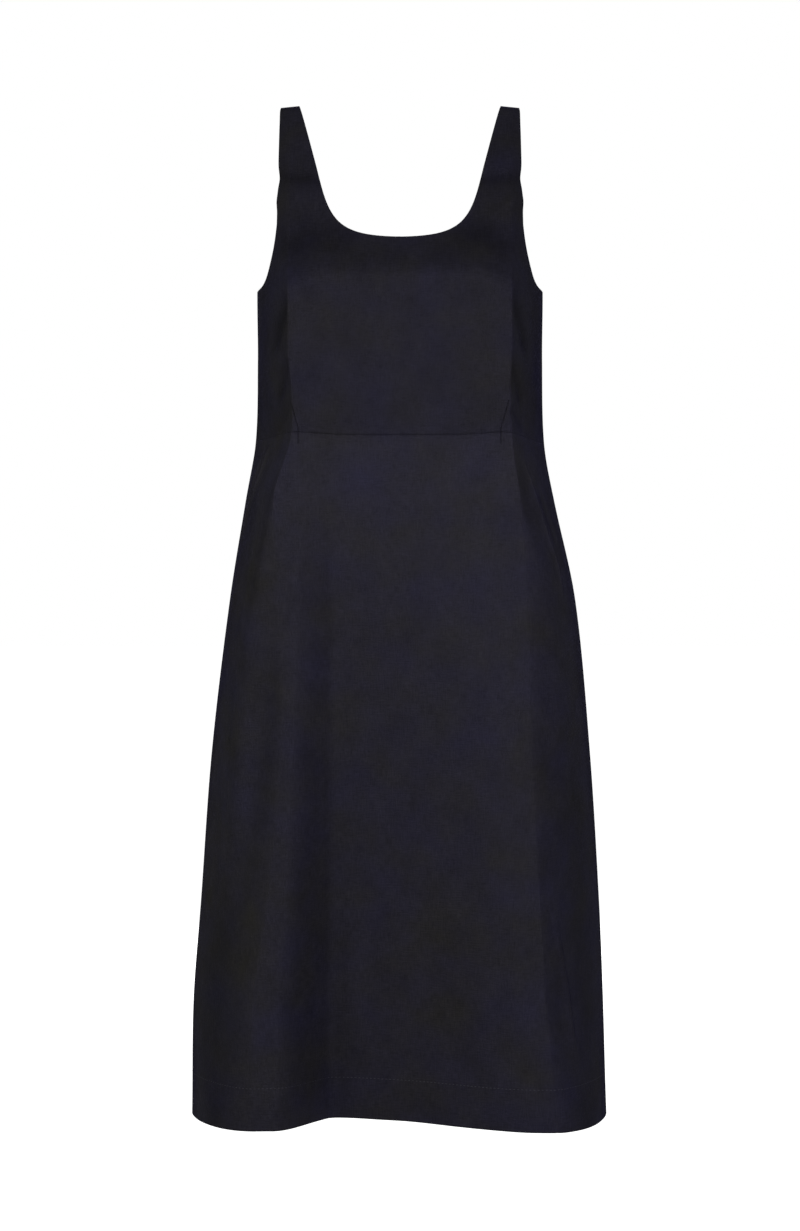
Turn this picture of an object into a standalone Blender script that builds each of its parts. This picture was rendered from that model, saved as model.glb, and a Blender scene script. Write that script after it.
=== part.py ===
"""Sheath dress: hollow, filled out as on a general figure, and held up at the shoulders.

Metres, +Z up. The front faces -Y, and the wearer's left side is at +X. The origin lies midway between the
tops of the two shoulder straps, where shoulders carry the dress, so that all of it hangs below z = 0.

Every piece of cloth lies on one form. A place on the form is given by its height z and by its station w
round the body: 0 is the centre front, 1 the side at +X, -1 the side at -X, and 2 or -2 the centre back.
Between the centre and the side a section runs straight across to a corner, at half a station, and then
turns back in a quarter of an ellipse, or a sharper bend.
"""

import math
from collections import namedtuple

import bmesh
import bpy
from mathutils import Vector
from mathutils.geometry import interpolate_bezier

# Cloth and seams
WALL = 0.0015  # one layer of suiting
HEM_WALL = 0.0030  # two layers, where the hem is turned up
SEAM_GAP = 0.0003

# Heights
WAIST_Z = -0.395
HEM_Z = -1.186
HEM_DEPTH = 0.050
ARMHOLE_Z = -0.2197
BUST_Z = -0.204

# From the shoulder to the bust the cloth leans out, rounded over at the top: the share of the depth that
# the rounding takes, and how far down it goes, as a share of the way to the bust.
Shoulder = namedtuple("Shoulder", "round reach")
SHOULDERS = {"front": Shoulder(0.23, 0.06), "back": Shoulder(0.55, 0.22)}

# Form of the body, a row for each section: half of its width, how far the straight part goes to each side
# in front and behind, how far the front and the back stand out, how sharp their corners are (1 is a round
# ellipse, 2 a straight chamfer), and how far the whole section sways sideways.
Section = namedtuple(
    "Section", "name z half_width flat_right flat_left flat_back front back bevel_front bevel_back sway"
)
FORM = (
    Section("shoulder", 0.000, 0.1600, 0.126, 0.126, 0.126, 0.119, 0.102, 1.45, 1.45, 0.000),
    Section("neck", -0.150, 0.1635, 0.126, 0.126, 0.112, 0.119, 0.102, 1.45, 1.20, 0.000),
    Section("bust", BUST_Z, 0.1680, 0.126, 0.126, 0.100, 0.119, 0.102, 1.45, 1.10, 0.000),
    Section("ribs", -0.300, 0.1676, 0.126, 0.126, 0.090, 0.116, 0.100, 1.45, 1.05, 0.000),
    Section("waist", WAIST_Z, 0.1700, 0.123, 0.127, 0.080, 0.110, 0.089, 1.90, 1.00, 0.000),
    Section("high hip", -0.464, 0.1817, 0.142, 0.135, 0.080, 0.113, 0.103, 1.42, 1.00, 0.000),
    Section("hip", -0.582, 0.2036, 0.1375, 0.140, 0.086, 0.117, 0.122, 1.17, 1.00, 0.003),
    Section("thigh", -0.759, 0.2230, 0.1345, 0.148, 0.096, 0.116, 0.121, 1.38, 1.00, 0.001),
    Section("knee", -0.936, 0.2350, 0.152, 0.159, 0.104, 0.114, 0.117, 1.65, 1.00, 0.000),
    Section("calf", -1.054, 0.2419, 0.166, 0.169, 0.108, 0.113, 0.114, 1.64, 1.00, -0.002),
    Section("hem", HEM_Z, 0.2445, 0.162, 0.180, 0.110, 0.112, 0.112, 1.17, 1.00, -0.001),
)

# Soft folds of the skirt, a row for each: its middle at the waist and at the hem, how far it reaches
# towards -X and +X at the hem, and how far it sinks in at the hem.
Fold = namedtuple("Fold", "name face x_waist x_hem reach_low reach_high depth")
FOLDS = (
    Fold("hollow between the thighs", "front", -0.0695, -0.0695, 0.076, 0.244, 0.081),
    Fold("turn of the right thigh", "front", -0.130, -0.156, 0.060, 0.070, 0.011),
    Fold("hollow behind, middle", "back", -0.006, 0.012, 0.080, 0.074, 0.034),
    Fold("hollow behind, right", "back", -0.090, -0.132, 0.046, 0.052, 0.020),
    Fold("hollow behind, left", "back", 0.096, 0.140, 0.056, 0.044, 0.017),
)
FOLD_GROWTH = 1.25  # how late a fold deepens on its way down
FOLD_WAIST_REACH = 0.55  # reach of a fold at the waist, as a share of its reach at the hem
FOLD_BLEND = 0.020  # how far to each side of its middle a fold's two reaches blend

# Swells and hollows that run down the front skirt, a row for each: its middle, its width and how far it
# stands out, at each height of SWELL_Z. They rise within SWELL_START below the waist seam.
Swell = namedtuple("Swell", "name middle width height")
SWELL_Z = (-0.405, -0.500, -0.600, -0.700, -0.800, -0.900, -1.000, -1.100, HEM_Z)
SWELL_START = 0.03
SWELLS = (
    Swell(
        "drop from the right dart",
        (-0.1170, -0.1180, -0.1275, -0.1275, -0.1285, -0.1430, -0.1480, -0.1625, -0.1650),
        (0.0130, 0.0151, 0.0172, 0.0193, 0.0214, 0.0220, 0.0227, 0.0234, 0.0240),
        (0.0, 0.0028, 0.0045, 0.0035, 0.0022, 0.0017, 0.0023, 0.0028, 0.0024),
    ),
    Swell(
        "hollow beside the right thigh",
        (-0.1460, -0.1460, -0.1455, -0.1530, -0.1670, -0.1800, -0.1905, -0.2040, -0.2030),
        (0.0121, 0.0127, 0.0133, 0.0139, 0.0146, 0.0145, 0.0145, 0.0144, 0.0143),
        (0.0, 0.0, -0.0011, -0.0031, -0.0043, -0.0026, -0.0011, -0.0019, -0.0006),
    ),
    Swell(
        "side of the right hip",
        (-0.1620, -0.1590, -0.1755, -0.1835, -0.1900, -0.2005, -0.2120, -0.2200, -0.2220),
        (0.0110, 0.0110, 0.0110, 0.0110, 0.0110, 0.0110, 0.0110, 0.0110, 0.0110),
        (0.0, 0.0028, 0.0044, 0.0045, 0.0045, 0.0024, 0.0007, -0.0007, 0.0),
    ),
    Swell(
        "swell right of the middle",
        (-0.0250, -0.0340, -0.0325, -0.0370, -0.0410, -0.0310, -0.0320, -0.0295, -0.0265),
        (0.0305, 0.0307, 0.0308, 0.0310, 0.0312, 0.0308, 0.0304, 0.0301, 0.0297),
        (-0.0007, 0.0007, 0.0005, 0.0012, 0.0017, 0.0013, 0.0019, 0.0032, 0.0040),
    ),
    Swell(
        "hollow left of the middle",
        (0.0795, 0.0850, 0.0850, 0.0795, 0.0645, 0.0645, 0.0495, 0.0570, 0.0600),
        (0.0262, 0.0270, 0.0278, 0.0286, 0.0294, 0.0288, 0.0281, 0.0275, 0.0269),
        (0.0, -0.0017, -0.0007, -0.0004, -0.0019, -0.0036, -0.0030, -0.0024, 0.0007),
    ),
    Swell(
        "drop from the left dart",
        (0.1195, 0.1165, 0.1325, 0.1325, 0.1280, 0.1230, 0.1275, 0.1360, 0.1410),
        (0.0175, 0.0185, 0.0195, 0.0204, 0.0214, 0.0215, 0.0215, 0.0216, 0.0217),
        (0.0011, 0.0011, 0.0006, 0.0011, 0.0017, 0.0024, 0.0017, 0.0004, 0.0012),
    ),
    Swell(
        "side of the left hip",
        (0.1460, 0.1570, 0.1730, 0.1800, 0.1885, 0.2085, 0.2140, 0.2180, 0.2200),
        (0.0110, 0.0110, 0.0110, 0.0110, 0.0110, 0.0120, 0.0131, 0.0141, 0.0152),
        (-0.0013, 0.0015, 0.0021, 0.0029, 0.0029, 0.0007, 0.0007, -0.0011, 0.0018),
    ),
)

# Neckline: a slanted line down the strap, then a curve to the centre.
STRAP_INNER = 0.1186
NECK_TURN = (0.0920, -0.102)
NECK_TURN_HANDLE = (0.0795, -0.156)
NECK_FLOOR_HANDLE = (0.0600, -0.1672)
NECK_FLOOR_Z = -0.169
NECK_CURVE_STEPS = 8
STRAP_ROWS = (-0.076, -0.052, -0.033, -0.019, -0.010, -0.004, 0.0)
STRAP_SLOPE = 0.10  # fall of the shoulder seam towards the arm

# Armhole: how many stations it cuts off, how high it takes to do so, and how quickly it turns up, where 1
# is a slant.
ARMHOLE_CUT = 0.314
ARMHOLE_RISE = 0.070
ARMHOLE_TURN = 0.16
BODICE_ROWS = (
    -0.372, -0.345, -0.310, -0.275, -0.243, ARMHOLE_Z, -0.2191, -0.2172, -0.2125, BUST_Z, -0.196, -0.184,
)

# The waist seam rises a little at the two front darts.
DART_X = 0.117
DART_LIFT = 0.0032
DART_SPREAD = 0.034
DART_FADE = 0.080

# Rows of a skirt panel, as drops below the waist, and the height in which its wall thins above the hem.
SKIRT_ROWS = (
    0.016, 0.034, 0.062, 0.096, 0.138, 0.188, 0.245, 0.305, 0.367, 0.430, 0.493, 0.556, 0.618, 0.680,
)
HEM_STEP = 0.0006

BODICE_COLUMNS = 28
SKIRT_COLUMNS = 56
CORNER = 0.5  # station of a section's corner
PROBE = 0.002  # step for measuring how the form slopes
SHARP_ANGLE = 40  # degrees from which an edge looks cut and not rounded

CLOTH_COLOUR = "#22212A"
CLOTH_ROUGHNESS = 0.62


def linear(hex_colour):
    """Linear red, green, blue and alpha of an sRGB hex colour."""
    channels = [int(hex_colour[i:i + 2], 16) / 255 for i in (1, 3, 5)]
    return [c / 12.92 if c <= 0.04045 else ((c + 0.055) / 1.055) ** 2.4 for c in channels] + [1.0]


def cloth(name):
    """A material of the dress's own cloth."""
    material = bpy.data.materials.new(name)
    material.use_nodes = True
    shader = material.node_tree.nodes["Principled BSDF"]
    shader.inputs["Base Color"].default_value = linear(CLOTH_COLOUR)
    shader.inputs["Roughness"].default_value = CLOTH_ROUGHNESS
    shader.inputs["Metallic"].default_value = 0.0
    return material


def smooth_curve(heights, values, z):
    """The value at height z on a smooth curve through the values at falling heights."""
    last = len(heights) - 1
    z = min(max(z, heights[last]), heights[0])
    i = next(k for k in range(last) if z >= heights[k + 1])
    rows = [min(max(k, 0), last) for k in (i - 1, i, i + 1, i + 2)]
    h = [heights[k] for k in rows]
    v = [values[k] for k in rows]
    span = h[2] - h[1]
    slopes = [(v[k + 1] - v[k - 1]) / (h[k + 1] - h[k - 1]) * span for k in (1, 2)]
    u = (z - h[1]) / span
    return (v[1] * (2 * u ** 3 - 3 * u ** 2 + 1) + slopes[0] * (u ** 3 - 2 * u ** 2 + u)
            + v[2] * (3 * u ** 2 - 2 * u ** 3) + slopes[1] * (u ** 3 - u ** 2))


def smooth(column, z):
    """A column of FORM at height z."""
    return smooth_curve([row.z for row in FORM], [getattr(row, column) for row in FORM], z)


def lean(shoulder, u):
    """How far the cloth has come out at share u of the way from the shoulder to the bust."""
    return shoulder.round * (1 - math.exp(-u / shoulder.reach)) + (1 - shoulder.round) * u


def depth(face, z):
    """How far the front or the back of the form stands out at height z."""
    if z <= BUST_Z:
        return smooth(face, z)
    shoulder = SHOULDERS[face]
    return smooth(face, BUST_Z) * lean(shoulder, z / BUST_Z) / lean(shoulder, 1)


def flat_half(face, side, z):
    """How far the straight part of a section goes to one side."""
    if face == "back":
        return smooth("flat_back", z)
    return smooth("flat_left" if side > 0 else "flat_right", z)


def fold_depth(face, x, z):
    """How far all folds together push the cloth inwards at x and z."""
    down = max(0.0, (WAIST_Z - z) / (WAIST_Z - HEM_Z))
    total = 0.0
    for fold in FOLDS:
        if fold.face != face:
            continue
        middle = fold.x_waist + (fold.x_hem - fold.x_waist) * down
        share = min(1.0, max(0.0, (x - middle) / FOLD_BLEND / 2 + 0.5))
        share *= share * (3 - 2 * share)
        reach = fold.reach_low + (fold.reach_high - fold.reach_low) * share
        reach *= FOLD_WAIST_REACH + (1 - FOLD_WAIST_REACH) * down
        away = min(1.0, abs(x - middle) / reach)
        total += fold.depth * down ** FOLD_GROWTH * (1 + math.cos(math.pi * away)) / 2
    return total


def swell(x, z):
    """How far the swells and hollows of the front skirt lift the cloth at x and z."""
    if z >= WAIST_Z:
        return 0.0
    total = 0.0
    for row in SWELLS:
        away = (x - smooth_curve(SWELL_Z, row.middle, z)) / smooth_curve(SWELL_Z, row.width, z)
        total += smooth_curve(SWELL_Z, row.height, z) * math.exp(-away ** 2)
    return total * min(1.0, (WAIST_Z - z) / SWELL_START)


def form(w, z):
    """The point of the form at station w and height z."""
    w = (w + 2) % 4 - 2
    face = "front" if abs(w) <= 1 else "back"
    side = 1 if w >= 0 else -1
    station = abs(w) if face == "front" else 2 - abs(w)
    flat = flat_half(face, side, z)
    turn = max(0.0, (station - CORNER) / (1 - CORNER)) * math.pi / 2
    bevel = smooth("bevel_" + face, z)
    past_corner = (smooth("half_width", z) - flat) * math.sin(turn) ** bevel
    x = side * (flat * min(1.0, station / CORNER) + past_corner)
    out = depth(face, z) * max(0.0, math.cos(turn)) ** bevel - fold_depth(face, x, z)
    if face == "front":
        rise = swell(x, z)
        x += side * rise * math.sin(turn)
        out += rise * max(0.0, math.cos(turn))
    return Vector((x + smooth("sway", z), -out if face == "front" else out, z))


def outward(w, z):
    """The direction that faces away from the inside at station w and height z."""
    across = form(w + PROBE, z) - form(w - PROBE, z)
    up = form(w, min(z + PROBE, 0.0)) - form(w, max(z - PROBE, HEM_Z))
    return across.cross(up).normalized()


def station_at(face, x, z):
    """How many stations from the centre of a face the form is x wide, at height z of the bodice."""
    flat = flat_half(face, 1, z)
    if x <= flat:
        return CORNER * x / flat
    turn = math.asin(((x - flat) / (smooth("half_width", z) - flat)) ** (1 / smooth("bevel_" + face, z)))
    return CORNER + (1 - CORNER) * turn / (math.pi / 2)


def armhole_station(z):
    """The station of the armhole's edge at height z, or of the side seam below the armhole."""
    rise = min(1.0, max(0.0, (z - ARMHOLE_Z) / ARMHOLE_RISE))
    return 1 - ARMHOLE_CUT * rise ** ARMHOLE_TURN


def dart_lift(w, z):
    """How far the front darts raise the cloth near the waist seam."""
    if abs((w + 2) % 4 - 2) > 1:
        return 0.0
    near = math.exp(-((abs(form(w, WAIST_Z).x) - DART_X) / DART_SPREAD) ** 2)
    return DART_LIFT * near * max(0.0, 1 - abs(z - WAIST_Z) / DART_FADE)


def wall(w, z, thickness=WALL):
    """The outer and inner points of the cloth at station w and height z."""
    point = form(w, z)
    point.z += dart_lift(w, z)
    return [point, point - outward(w, z) * thickness]


def shell(name, skin, cells):
    """A closed wall round a patch of cloth.

    skin gives each grid key its outer and inner point. cells are rings of keys, turned so that they face
    outwards.
    """
    mesh = bmesh.new()
    outer = {key: mesh.verts.new(points[0]) for key, points in skin.items()}
    inner = {key: mesh.verts.new(points[1]) for key, points in skin.items()}
    edges = set()
    for cell in cells:
        mesh.faces.new([outer[key] for key in cell])
        mesh.faces.new([inner[key] for key in reversed(cell)])
        edges.update(zip(cell, cell[1:] + cell[:1]))
    for start, end in edges:
        if (end, start) not in edges:
            mesh.faces.new([outer[end], outer[start], inner[start], inner[end]])
    bmesh.ops.recalc_face_normals(mesh, faces=mesh.faces)
    data = bpy.data.meshes.new(name)
    mesh.to_mesh(data)
    mesh.free()
    data.shade_smooth()
    data.set_sharp_from_angle(angle=math.radians(SHARP_ANGLE))
    data.materials.append(cloth(name + "_cloth"))
    piece = bpy.data.objects.new(name, data)
    bpy.context.collection.objects.link(piece)
    return piece


def cells_between(low, high):
    """The cells between two rows of keys, row low lying under row high."""
    return [[low[k], low[k + 1], high[k + 1], high[k]] for k in range(len(low) - 1)]


def spread(start, end, count):
    """count + 1 stations from start to end."""
    return [start + (end - start) * k / count for k in range(count + 1)]


def square_to_seam(points, axis, value):
    """Put both points of a wall on a seam's plane, so that the edge stands square to it."""
    for point in points:
        point[axis] = value


def neck_edge():
    """The neckline from the centre up to the strap's top, as (distance from the centre, height)."""
    corners = [NECK_TURN, NECK_TURN_HANDLE, NECK_FLOOR_HANDLE, (0.0, NECK_FLOOR_Z)]
    curve = interpolate_bezier(*[Vector((x, 0, z)) for x, z in reversed(corners)], NECK_CURVE_STEPS + 1)
    edge = [(point.x, point.z) for point in curve]
    for z in STRAP_ROWS:
        edge.append((STRAP_INNER + (NECK_TURN[0] - STRAP_INNER) * z / NECK_TURN[1], z))
    return edge


def bodice(name, centre):
    """The front bodice (centre station 0) or the back one (centre station 2), with its two straps."""
    face = "front" if centre == 0 else "back"
    seam_y = -SEAM_GAP / 2 if centre == 0 else SEAM_GAP / 2
    half = BODICE_COLUMNS // 2
    skin = {}
    cells = []

    def row(label, z, start, end, columns):
        """Add the points of a row, between two distances in stations from the centre, and give its keys."""
        keys = []
        for column, distance in zip(columns, spread(start, end, len(columns) - 1)):
            key = (label, column)
            keys.append(key)
            skin[key] = wall(centre + distance, z)
            if abs(abs(distance) - 1) < 1e-6:
                square_to_seam(skin[key], 1, seam_y)
        return keys

    below = None
    for k, z in enumerate((WAIST_Z + SEAM_GAP / 2,) + BODICE_ROWS + (NECK_FLOOR_Z,)):
        reach = armhole_station(z)
        keys = row(k, z, -reach, reach, range(-half, half + 1))
        if k == 0:
            for key in keys:
                square_to_seam(skin[key], 2, skin[key][0].z)
        else:
            cells += cells_between(below, keys)
        below = keys

    for side in (-1, 1):
        columns = range(0, half + 1) if side > 0 else range(-half, 1)
        under = [key for key in below if key[1] in columns]
        for k, (x, z) in enumerate(neck_edge()[1:]):
            inner, outer = station_at(face, x, z), armhole_station(z)
            ends = (inner, outer) if side > 0 else (-outer, -inner)
            keys = row(("strap", side, k), z, *ends, columns)
            for key in keys:
                fall = STRAP_SLOPE * (z / NECK_FLOOR_Z - 1) * (abs(skin[key][0].x) - STRAP_INNER)
                for point in skin[key]:
                    point.z += fall
                if z == 0:
                    square_to_seam(skin[key], 1, seam_y)
            cells += cells_between(under, keys)
            under = keys
    return shell(name, skin, cells)


def skirt_heights():
    """The rows of a skirt panel from the hem up, each with the thickness of its wall."""
    top = WAIST_Z - SEAM_GAP / 2
    turn = HEM_Z + HEM_DEPTH
    rows = [(HEM_Z, HEM_WALL), (turn, HEM_WALL), (turn + HEM_STEP, WALL)]
    rows += [(WAIST_Z - drop, WALL) for drop in reversed(SKIRT_ROWS)]
    return rows + [(top, WALL)]


def skirt(name, centre):
    """The front skirt (centre station 0) or the back one (centre station 2), from side seam to side seam."""
    seam_y = -SEAM_GAP / 2 if centre == 0 else SEAM_GAP / 2
    skin = {}
    cells = []
    below = None
    for r, (z, thickness) in enumerate(skirt_heights()):
        keys = []
        for c, w in enumerate(spread(centre - 1, centre + 1, SKIRT_COLUMNS)):
            keys.append((r, c))
            skin[r, c] = wall(w, z, thickness)
            if c in (0, SKIRT_COLUMNS):
                square_to_seam(skin[r, c], 1, seam_y)
            if z == HEM_Z or z > WAIST_Z - SEAM_GAP:
                square_to_seam(skin[r, c], 2, skin[r, c][0].z)
        if below:
            cells += cells_between(below, keys)
        below = keys
    return shell(name, skin, cells)


for old in list(bpy.context.scene.objects):
    bpy.data.objects.remove(old, do_unlink=True)

bodice("bodice_front", 0)
bodice("bodice_back", 2)
skirt("skirt_front", 0)
skirt("skirt_back", 2)
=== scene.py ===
"""Looks of a navy sheath dress, hollow and filled out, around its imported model.

Metres, +Z up. The front faces -Y, and the wearer's left side is at +X. The origin lies midway between the
tops of the two shoulder straps. Every piece of cloth lies on one form, as in the model: a place on it is a
height z and a station w round the body, where 0 is the centre front, 1 and -1 are the sides, and 2 is the
centre back.
"""

from __future__ import annotations

import logging
import math
from dataclasses import dataclass, field
from enum import Enum
from typing import Callable, Iterable, Iterator, Sequence

import bpy
import numpy as np
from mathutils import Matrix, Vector

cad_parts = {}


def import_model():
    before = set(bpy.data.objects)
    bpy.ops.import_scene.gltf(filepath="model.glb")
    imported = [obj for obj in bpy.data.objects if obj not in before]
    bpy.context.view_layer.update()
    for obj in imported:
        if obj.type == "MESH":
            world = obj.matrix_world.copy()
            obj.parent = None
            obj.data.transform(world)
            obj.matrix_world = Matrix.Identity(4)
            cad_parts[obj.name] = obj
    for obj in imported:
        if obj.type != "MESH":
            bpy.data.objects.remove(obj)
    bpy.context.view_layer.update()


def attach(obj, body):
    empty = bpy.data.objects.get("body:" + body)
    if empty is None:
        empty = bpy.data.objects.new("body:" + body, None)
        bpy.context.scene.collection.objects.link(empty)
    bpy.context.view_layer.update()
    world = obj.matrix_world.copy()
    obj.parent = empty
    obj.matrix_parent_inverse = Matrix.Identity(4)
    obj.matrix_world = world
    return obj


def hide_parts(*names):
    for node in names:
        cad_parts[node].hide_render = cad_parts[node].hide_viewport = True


log = logging.getLogger("sheath_dress")

BODY = "root"

# Heights of the dress
WAIST_Z = -0.395
HEM_Z = -1.186
HEM_DEPTH = 0.050
ARMHOLE_Z = -0.2197
BUST_Z = -0.204

# Thickness of the cloth
WALL = 0.0015
HEM_WALL = 0.0030
SEAM_GAP = 0.0003

CORNER = 0.5  # station where a section leaves its straight part
PROBE = 0.002  # step for measuring how the form slopes
SEAM_TOLERANCE = 1e-9  # in stations, for telling a place on a side seam


class Face(Enum):
    """A side of the dress. The value is the station of its centre."""

    FRONT = 0.0
    BACK = 2.0

    @property
    def sign(self) -> float:
        """Which way the face looks along Y."""
        return -1.0 if self is Face.FRONT else 1.0


PINCH_CREST = 0.6  # the crest's share of a pinched crease's height
PINCH_WIDTH = 0.45  # its width, in widths of the crease


class Profile(Enum):
    """How a crease rises across its line."""

    ROUND = "round"  # a soft ridge or trough
    PINCH = "pinch"  # a narrow crest on a wide foot

    def across(self, away: np.ndarray) -> np.ndarray:
        """The share of its height that a crease has beside its line.

        Args:
            away: Distances from the line, in widths of the crease.

        Returns:
            The shares, 1 on the line.
        """
        foot = np.exp(-(away**2))
        if self is Profile.ROUND:
            return foot
        return PINCH_CREST * np.exp(-((away / PINCH_WIDTH) ** 2)) + (1 - PINCH_CREST) * foot


@dataclass(frozen=True)
class Section:
    """One level of the form.

    flat_right, flat_left and flat_back say how far the straight part goes from the centre. The bevels say
    how sharp the corners are: 1 is a round ellipse, 2 a straight chamfer. sway moves the section sideways.
    """

    name: str
    z: float
    half_width: float
    flat_right: float
    flat_left: float
    flat_back: float
    front: float
    back: float
    bevel_front: float
    bevel_back: float
    sway: float


@dataclass(frozen=True)
class Fold:
    """A broad soft fold of the skirt, sinking in from the waist to the hem."""

    name: str
    face: Face
    x_waist: float
    x_hem: float
    reach_low: float
    reach_high: float
    depth: float


@dataclass(frozen=True)
class Swell:
    """A swell or hollow that runs down the front skirt: its middle, width and height at each of SWELL_Z."""

    name: str
    middle: tuple[float, ...]
    width: tuple[float, ...]
    height: tuple[float, ...]


@dataclass(frozen=True)
class Shoulder:
    """How the cloth leans out below the shoulder: the share that is rounding at the top, and its reach."""

    rounding: float
    reach: float


Line = tuple[tuple[float, float], ...]


@dataclass(frozen=True)
class Crease:
    """A listed crease.

    Width is how far the crease reaches to each side of its line, and height is positive for a ridge and
    negative for a trough. line holds points (x, z) on the face. fade is the share of its length over which
    each end dies away. A crease with on_side set stays off the flat middle of the face. The last field is the
    share by which the cloth's colour is painted lighter on a ridge, a painted highlight, or darker in a
    hollow, a painted shade where little light reaches.
    """

    name: str
    width: float
    height: float
    line: Line
    fade: float = 0.3
    profile: Profile = Profile.ROUND
    on_side: bool = False
    # painted highlight above 0 and painted shade below 0, as a share of the cloth's colour
    tone: float = 0.0


def both_sides(name: str, width: float, height: float, line: Line, **rest: object) -> tuple[Crease, Crease]:
    """The same crease on both sides.

    Args:
        name: What it is, without its side.
        width: As in Crease.
        height: As in Crease.
        line: Its line on the wearer's left.
        rest: Its other fields.

    Returns:
        The right one, mirrored, and the left one.
    """
    mirrored = tuple((-x, z) for x, z in line)
    return (
        Crease(name + ", right", width, height, mirrored, **rest),
        Crease(name + ", left", width, height, line, **rest),
    )


# From the waist to the hem, flat_right, flat_left and bevel_front weren't chosen by hand. A program fitted
# them to how light the photo's dress is.
SECTIONS = (
    Section("shoulder", 0.000, 0.1600, 0.126, 0.126, 0.126, 0.119, 0.102, 1.45, 1.45, 0.000),
    Section("neck", -0.150, 0.1635, 0.126, 0.126, 0.112, 0.119, 0.102, 1.45, 1.20, 0.000),
    Section("bust", BUST_Z, 0.1680, 0.126, 0.126, 0.100, 0.119, 0.102, 1.45, 1.10, 0.000),
    Section("ribs", -0.300, 0.1676, 0.126, 0.126, 0.090, 0.116, 0.100, 1.45, 1.05, 0.000),
    Section("waist", WAIST_Z, 0.1700, 0.123, 0.127, 0.080, 0.110, 0.089, 1.90, 1.00, 0.000),
    Section("high hip", -0.464, 0.1817, 0.142, 0.135, 0.080, 0.113, 0.103, 1.42, 1.00, 0.000),
    Section("hip", -0.582, 0.2036, 0.1375, 0.140, 0.086, 0.117, 0.122, 1.17, 1.00, 0.003),
    Section("thigh", -0.759, 0.2230, 0.1345, 0.148, 0.096, 0.116, 0.121, 1.38, 1.00, 0.001),
    Section("knee", -0.936, 0.2350, 0.152, 0.159, 0.104, 0.114, 0.117, 1.65, 1.00, 0.000),
    Section("calf", -1.054, 0.2419, 0.166, 0.169, 0.108, 0.113, 0.114, 1.64, 1.00, -0.002),
    Section("hem", HEM_Z, 0.2445, 0.162, 0.180, 0.110, 0.112, 0.112, 1.17, 1.00, -0.001),
)

# The sizes of the first fold were fitted in the same way
FOLDS = (
    Fold("hollow between the thighs", Face.FRONT, -0.0695, -0.0695, 0.076, 0.244, 0.081),
    Fold("turn of the right thigh", Face.FRONT, -0.130, -0.156, 0.060, 0.070, 0.011),
    Fold("hollow behind, middle", Face.BACK, -0.006, 0.012, 0.080, 0.074, 0.034),
    Fold("hollow behind, right", Face.BACK, -0.090, -0.132, 0.046, 0.052, 0.020),
    Fold("hollow behind, left", Face.BACK, 0.096, 0.140, 0.056, 0.044, 0.017),
)

SWELL_Z = (-0.405, -0.500, -0.600, -0.700, -0.800, -0.900, -1.000, -1.100, HEM_Z)
# All but one of these numbers were fitted in the same way
SWELLS = (
    Swell(
        "drop from the right dart",
        (-0.1170, -0.1180, -0.1275, -0.1275, -0.1285, -0.1430, -0.1480, -0.1625, -0.1650),
        (0.0130, 0.0151, 0.0172, 0.0193, 0.0214, 0.0220, 0.0227, 0.0234, 0.0240),
        (0.0, 0.0028, 0.0045, 0.0035, 0.0022, 0.0017, 0.0023, 0.0028, 0.0024),
    ),
    Swell(
        "hollow beside the right thigh",
        (-0.1460, -0.1460, -0.1455, -0.1530, -0.1670, -0.1800, -0.1905, -0.2040, -0.2030),
        (0.0121, 0.0127, 0.0133, 0.0139, 0.0146, 0.0145, 0.0145, 0.0144, 0.0143),
        (0.0, 0.0, -0.0011, -0.0031, -0.0043, -0.0026, -0.0011, -0.0019, -0.0006),
    ),
    Swell(
        "side of the right hip",
        (-0.1620, -0.1590, -0.1755, -0.1835, -0.1900, -0.2005, -0.2120, -0.2200, -0.2220),
        (0.0110, 0.0110, 0.0110, 0.0110, 0.0110, 0.0110, 0.0110, 0.0110, 0.0110),
        (0.0, 0.0028, 0.0044, 0.0045, 0.0045, 0.0024, 0.0007, -0.0007, 0.0),
    ),
    Swell(
        "swell right of the middle",
        (-0.0250, -0.0340, -0.0325, -0.0370, -0.0410, -0.0310, -0.0320, -0.0295, -0.0265),
        (0.0305, 0.0307, 0.0308, 0.0310, 0.0312, 0.0308, 0.0304, 0.0301, 0.0297),
        (-0.0007, 0.0007, 0.0005, 0.0012, 0.0017, 0.0013, 0.0019, 0.0032, 0.0040),
    ),
    Swell(
        "hollow left of the middle",
        (0.0795, 0.0850, 0.0850, 0.0795, 0.0645, 0.0645, 0.0495, 0.0570, 0.0600),
        (0.0262, 0.0270, 0.0278, 0.0286, 0.0294, 0.0288, 0.0281, 0.0275, 0.0269),
        (0.0, -0.0017, -0.0007, -0.0004, -0.0019, -0.0036, -0.0030, -0.0024, 0.0007),
    ),
    Swell(
        "drop from the left dart",
        (0.1195, 0.1165, 0.1325, 0.1325, 0.1280, 0.1230, 0.1275, 0.1360, 0.1410),
        (0.0175, 0.0185, 0.0195, 0.0204, 0.0214, 0.0215, 0.0215, 0.0216, 0.0217),
        (0.0011, 0.0011, 0.0006, 0.0011, 0.0017, 0.0024, 0.0017, 0.0004, 0.0012),
    ),
    Swell(
        "side of the left hip",
        (0.1460, 0.1570, 0.1730, 0.1800, 0.1885, 0.2085, 0.2140, 0.2180, 0.2200),
        (0.0110, 0.0110, 0.0110, 0.0110, 0.0110, 0.0120, 0.0131, 0.0141, 0.0152),
        (-0.0013, 0.0015, 0.0021, 0.0029, 0.0029, 0.0007, 0.0007, -0.0011, 0.0018),
    ),
)

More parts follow.
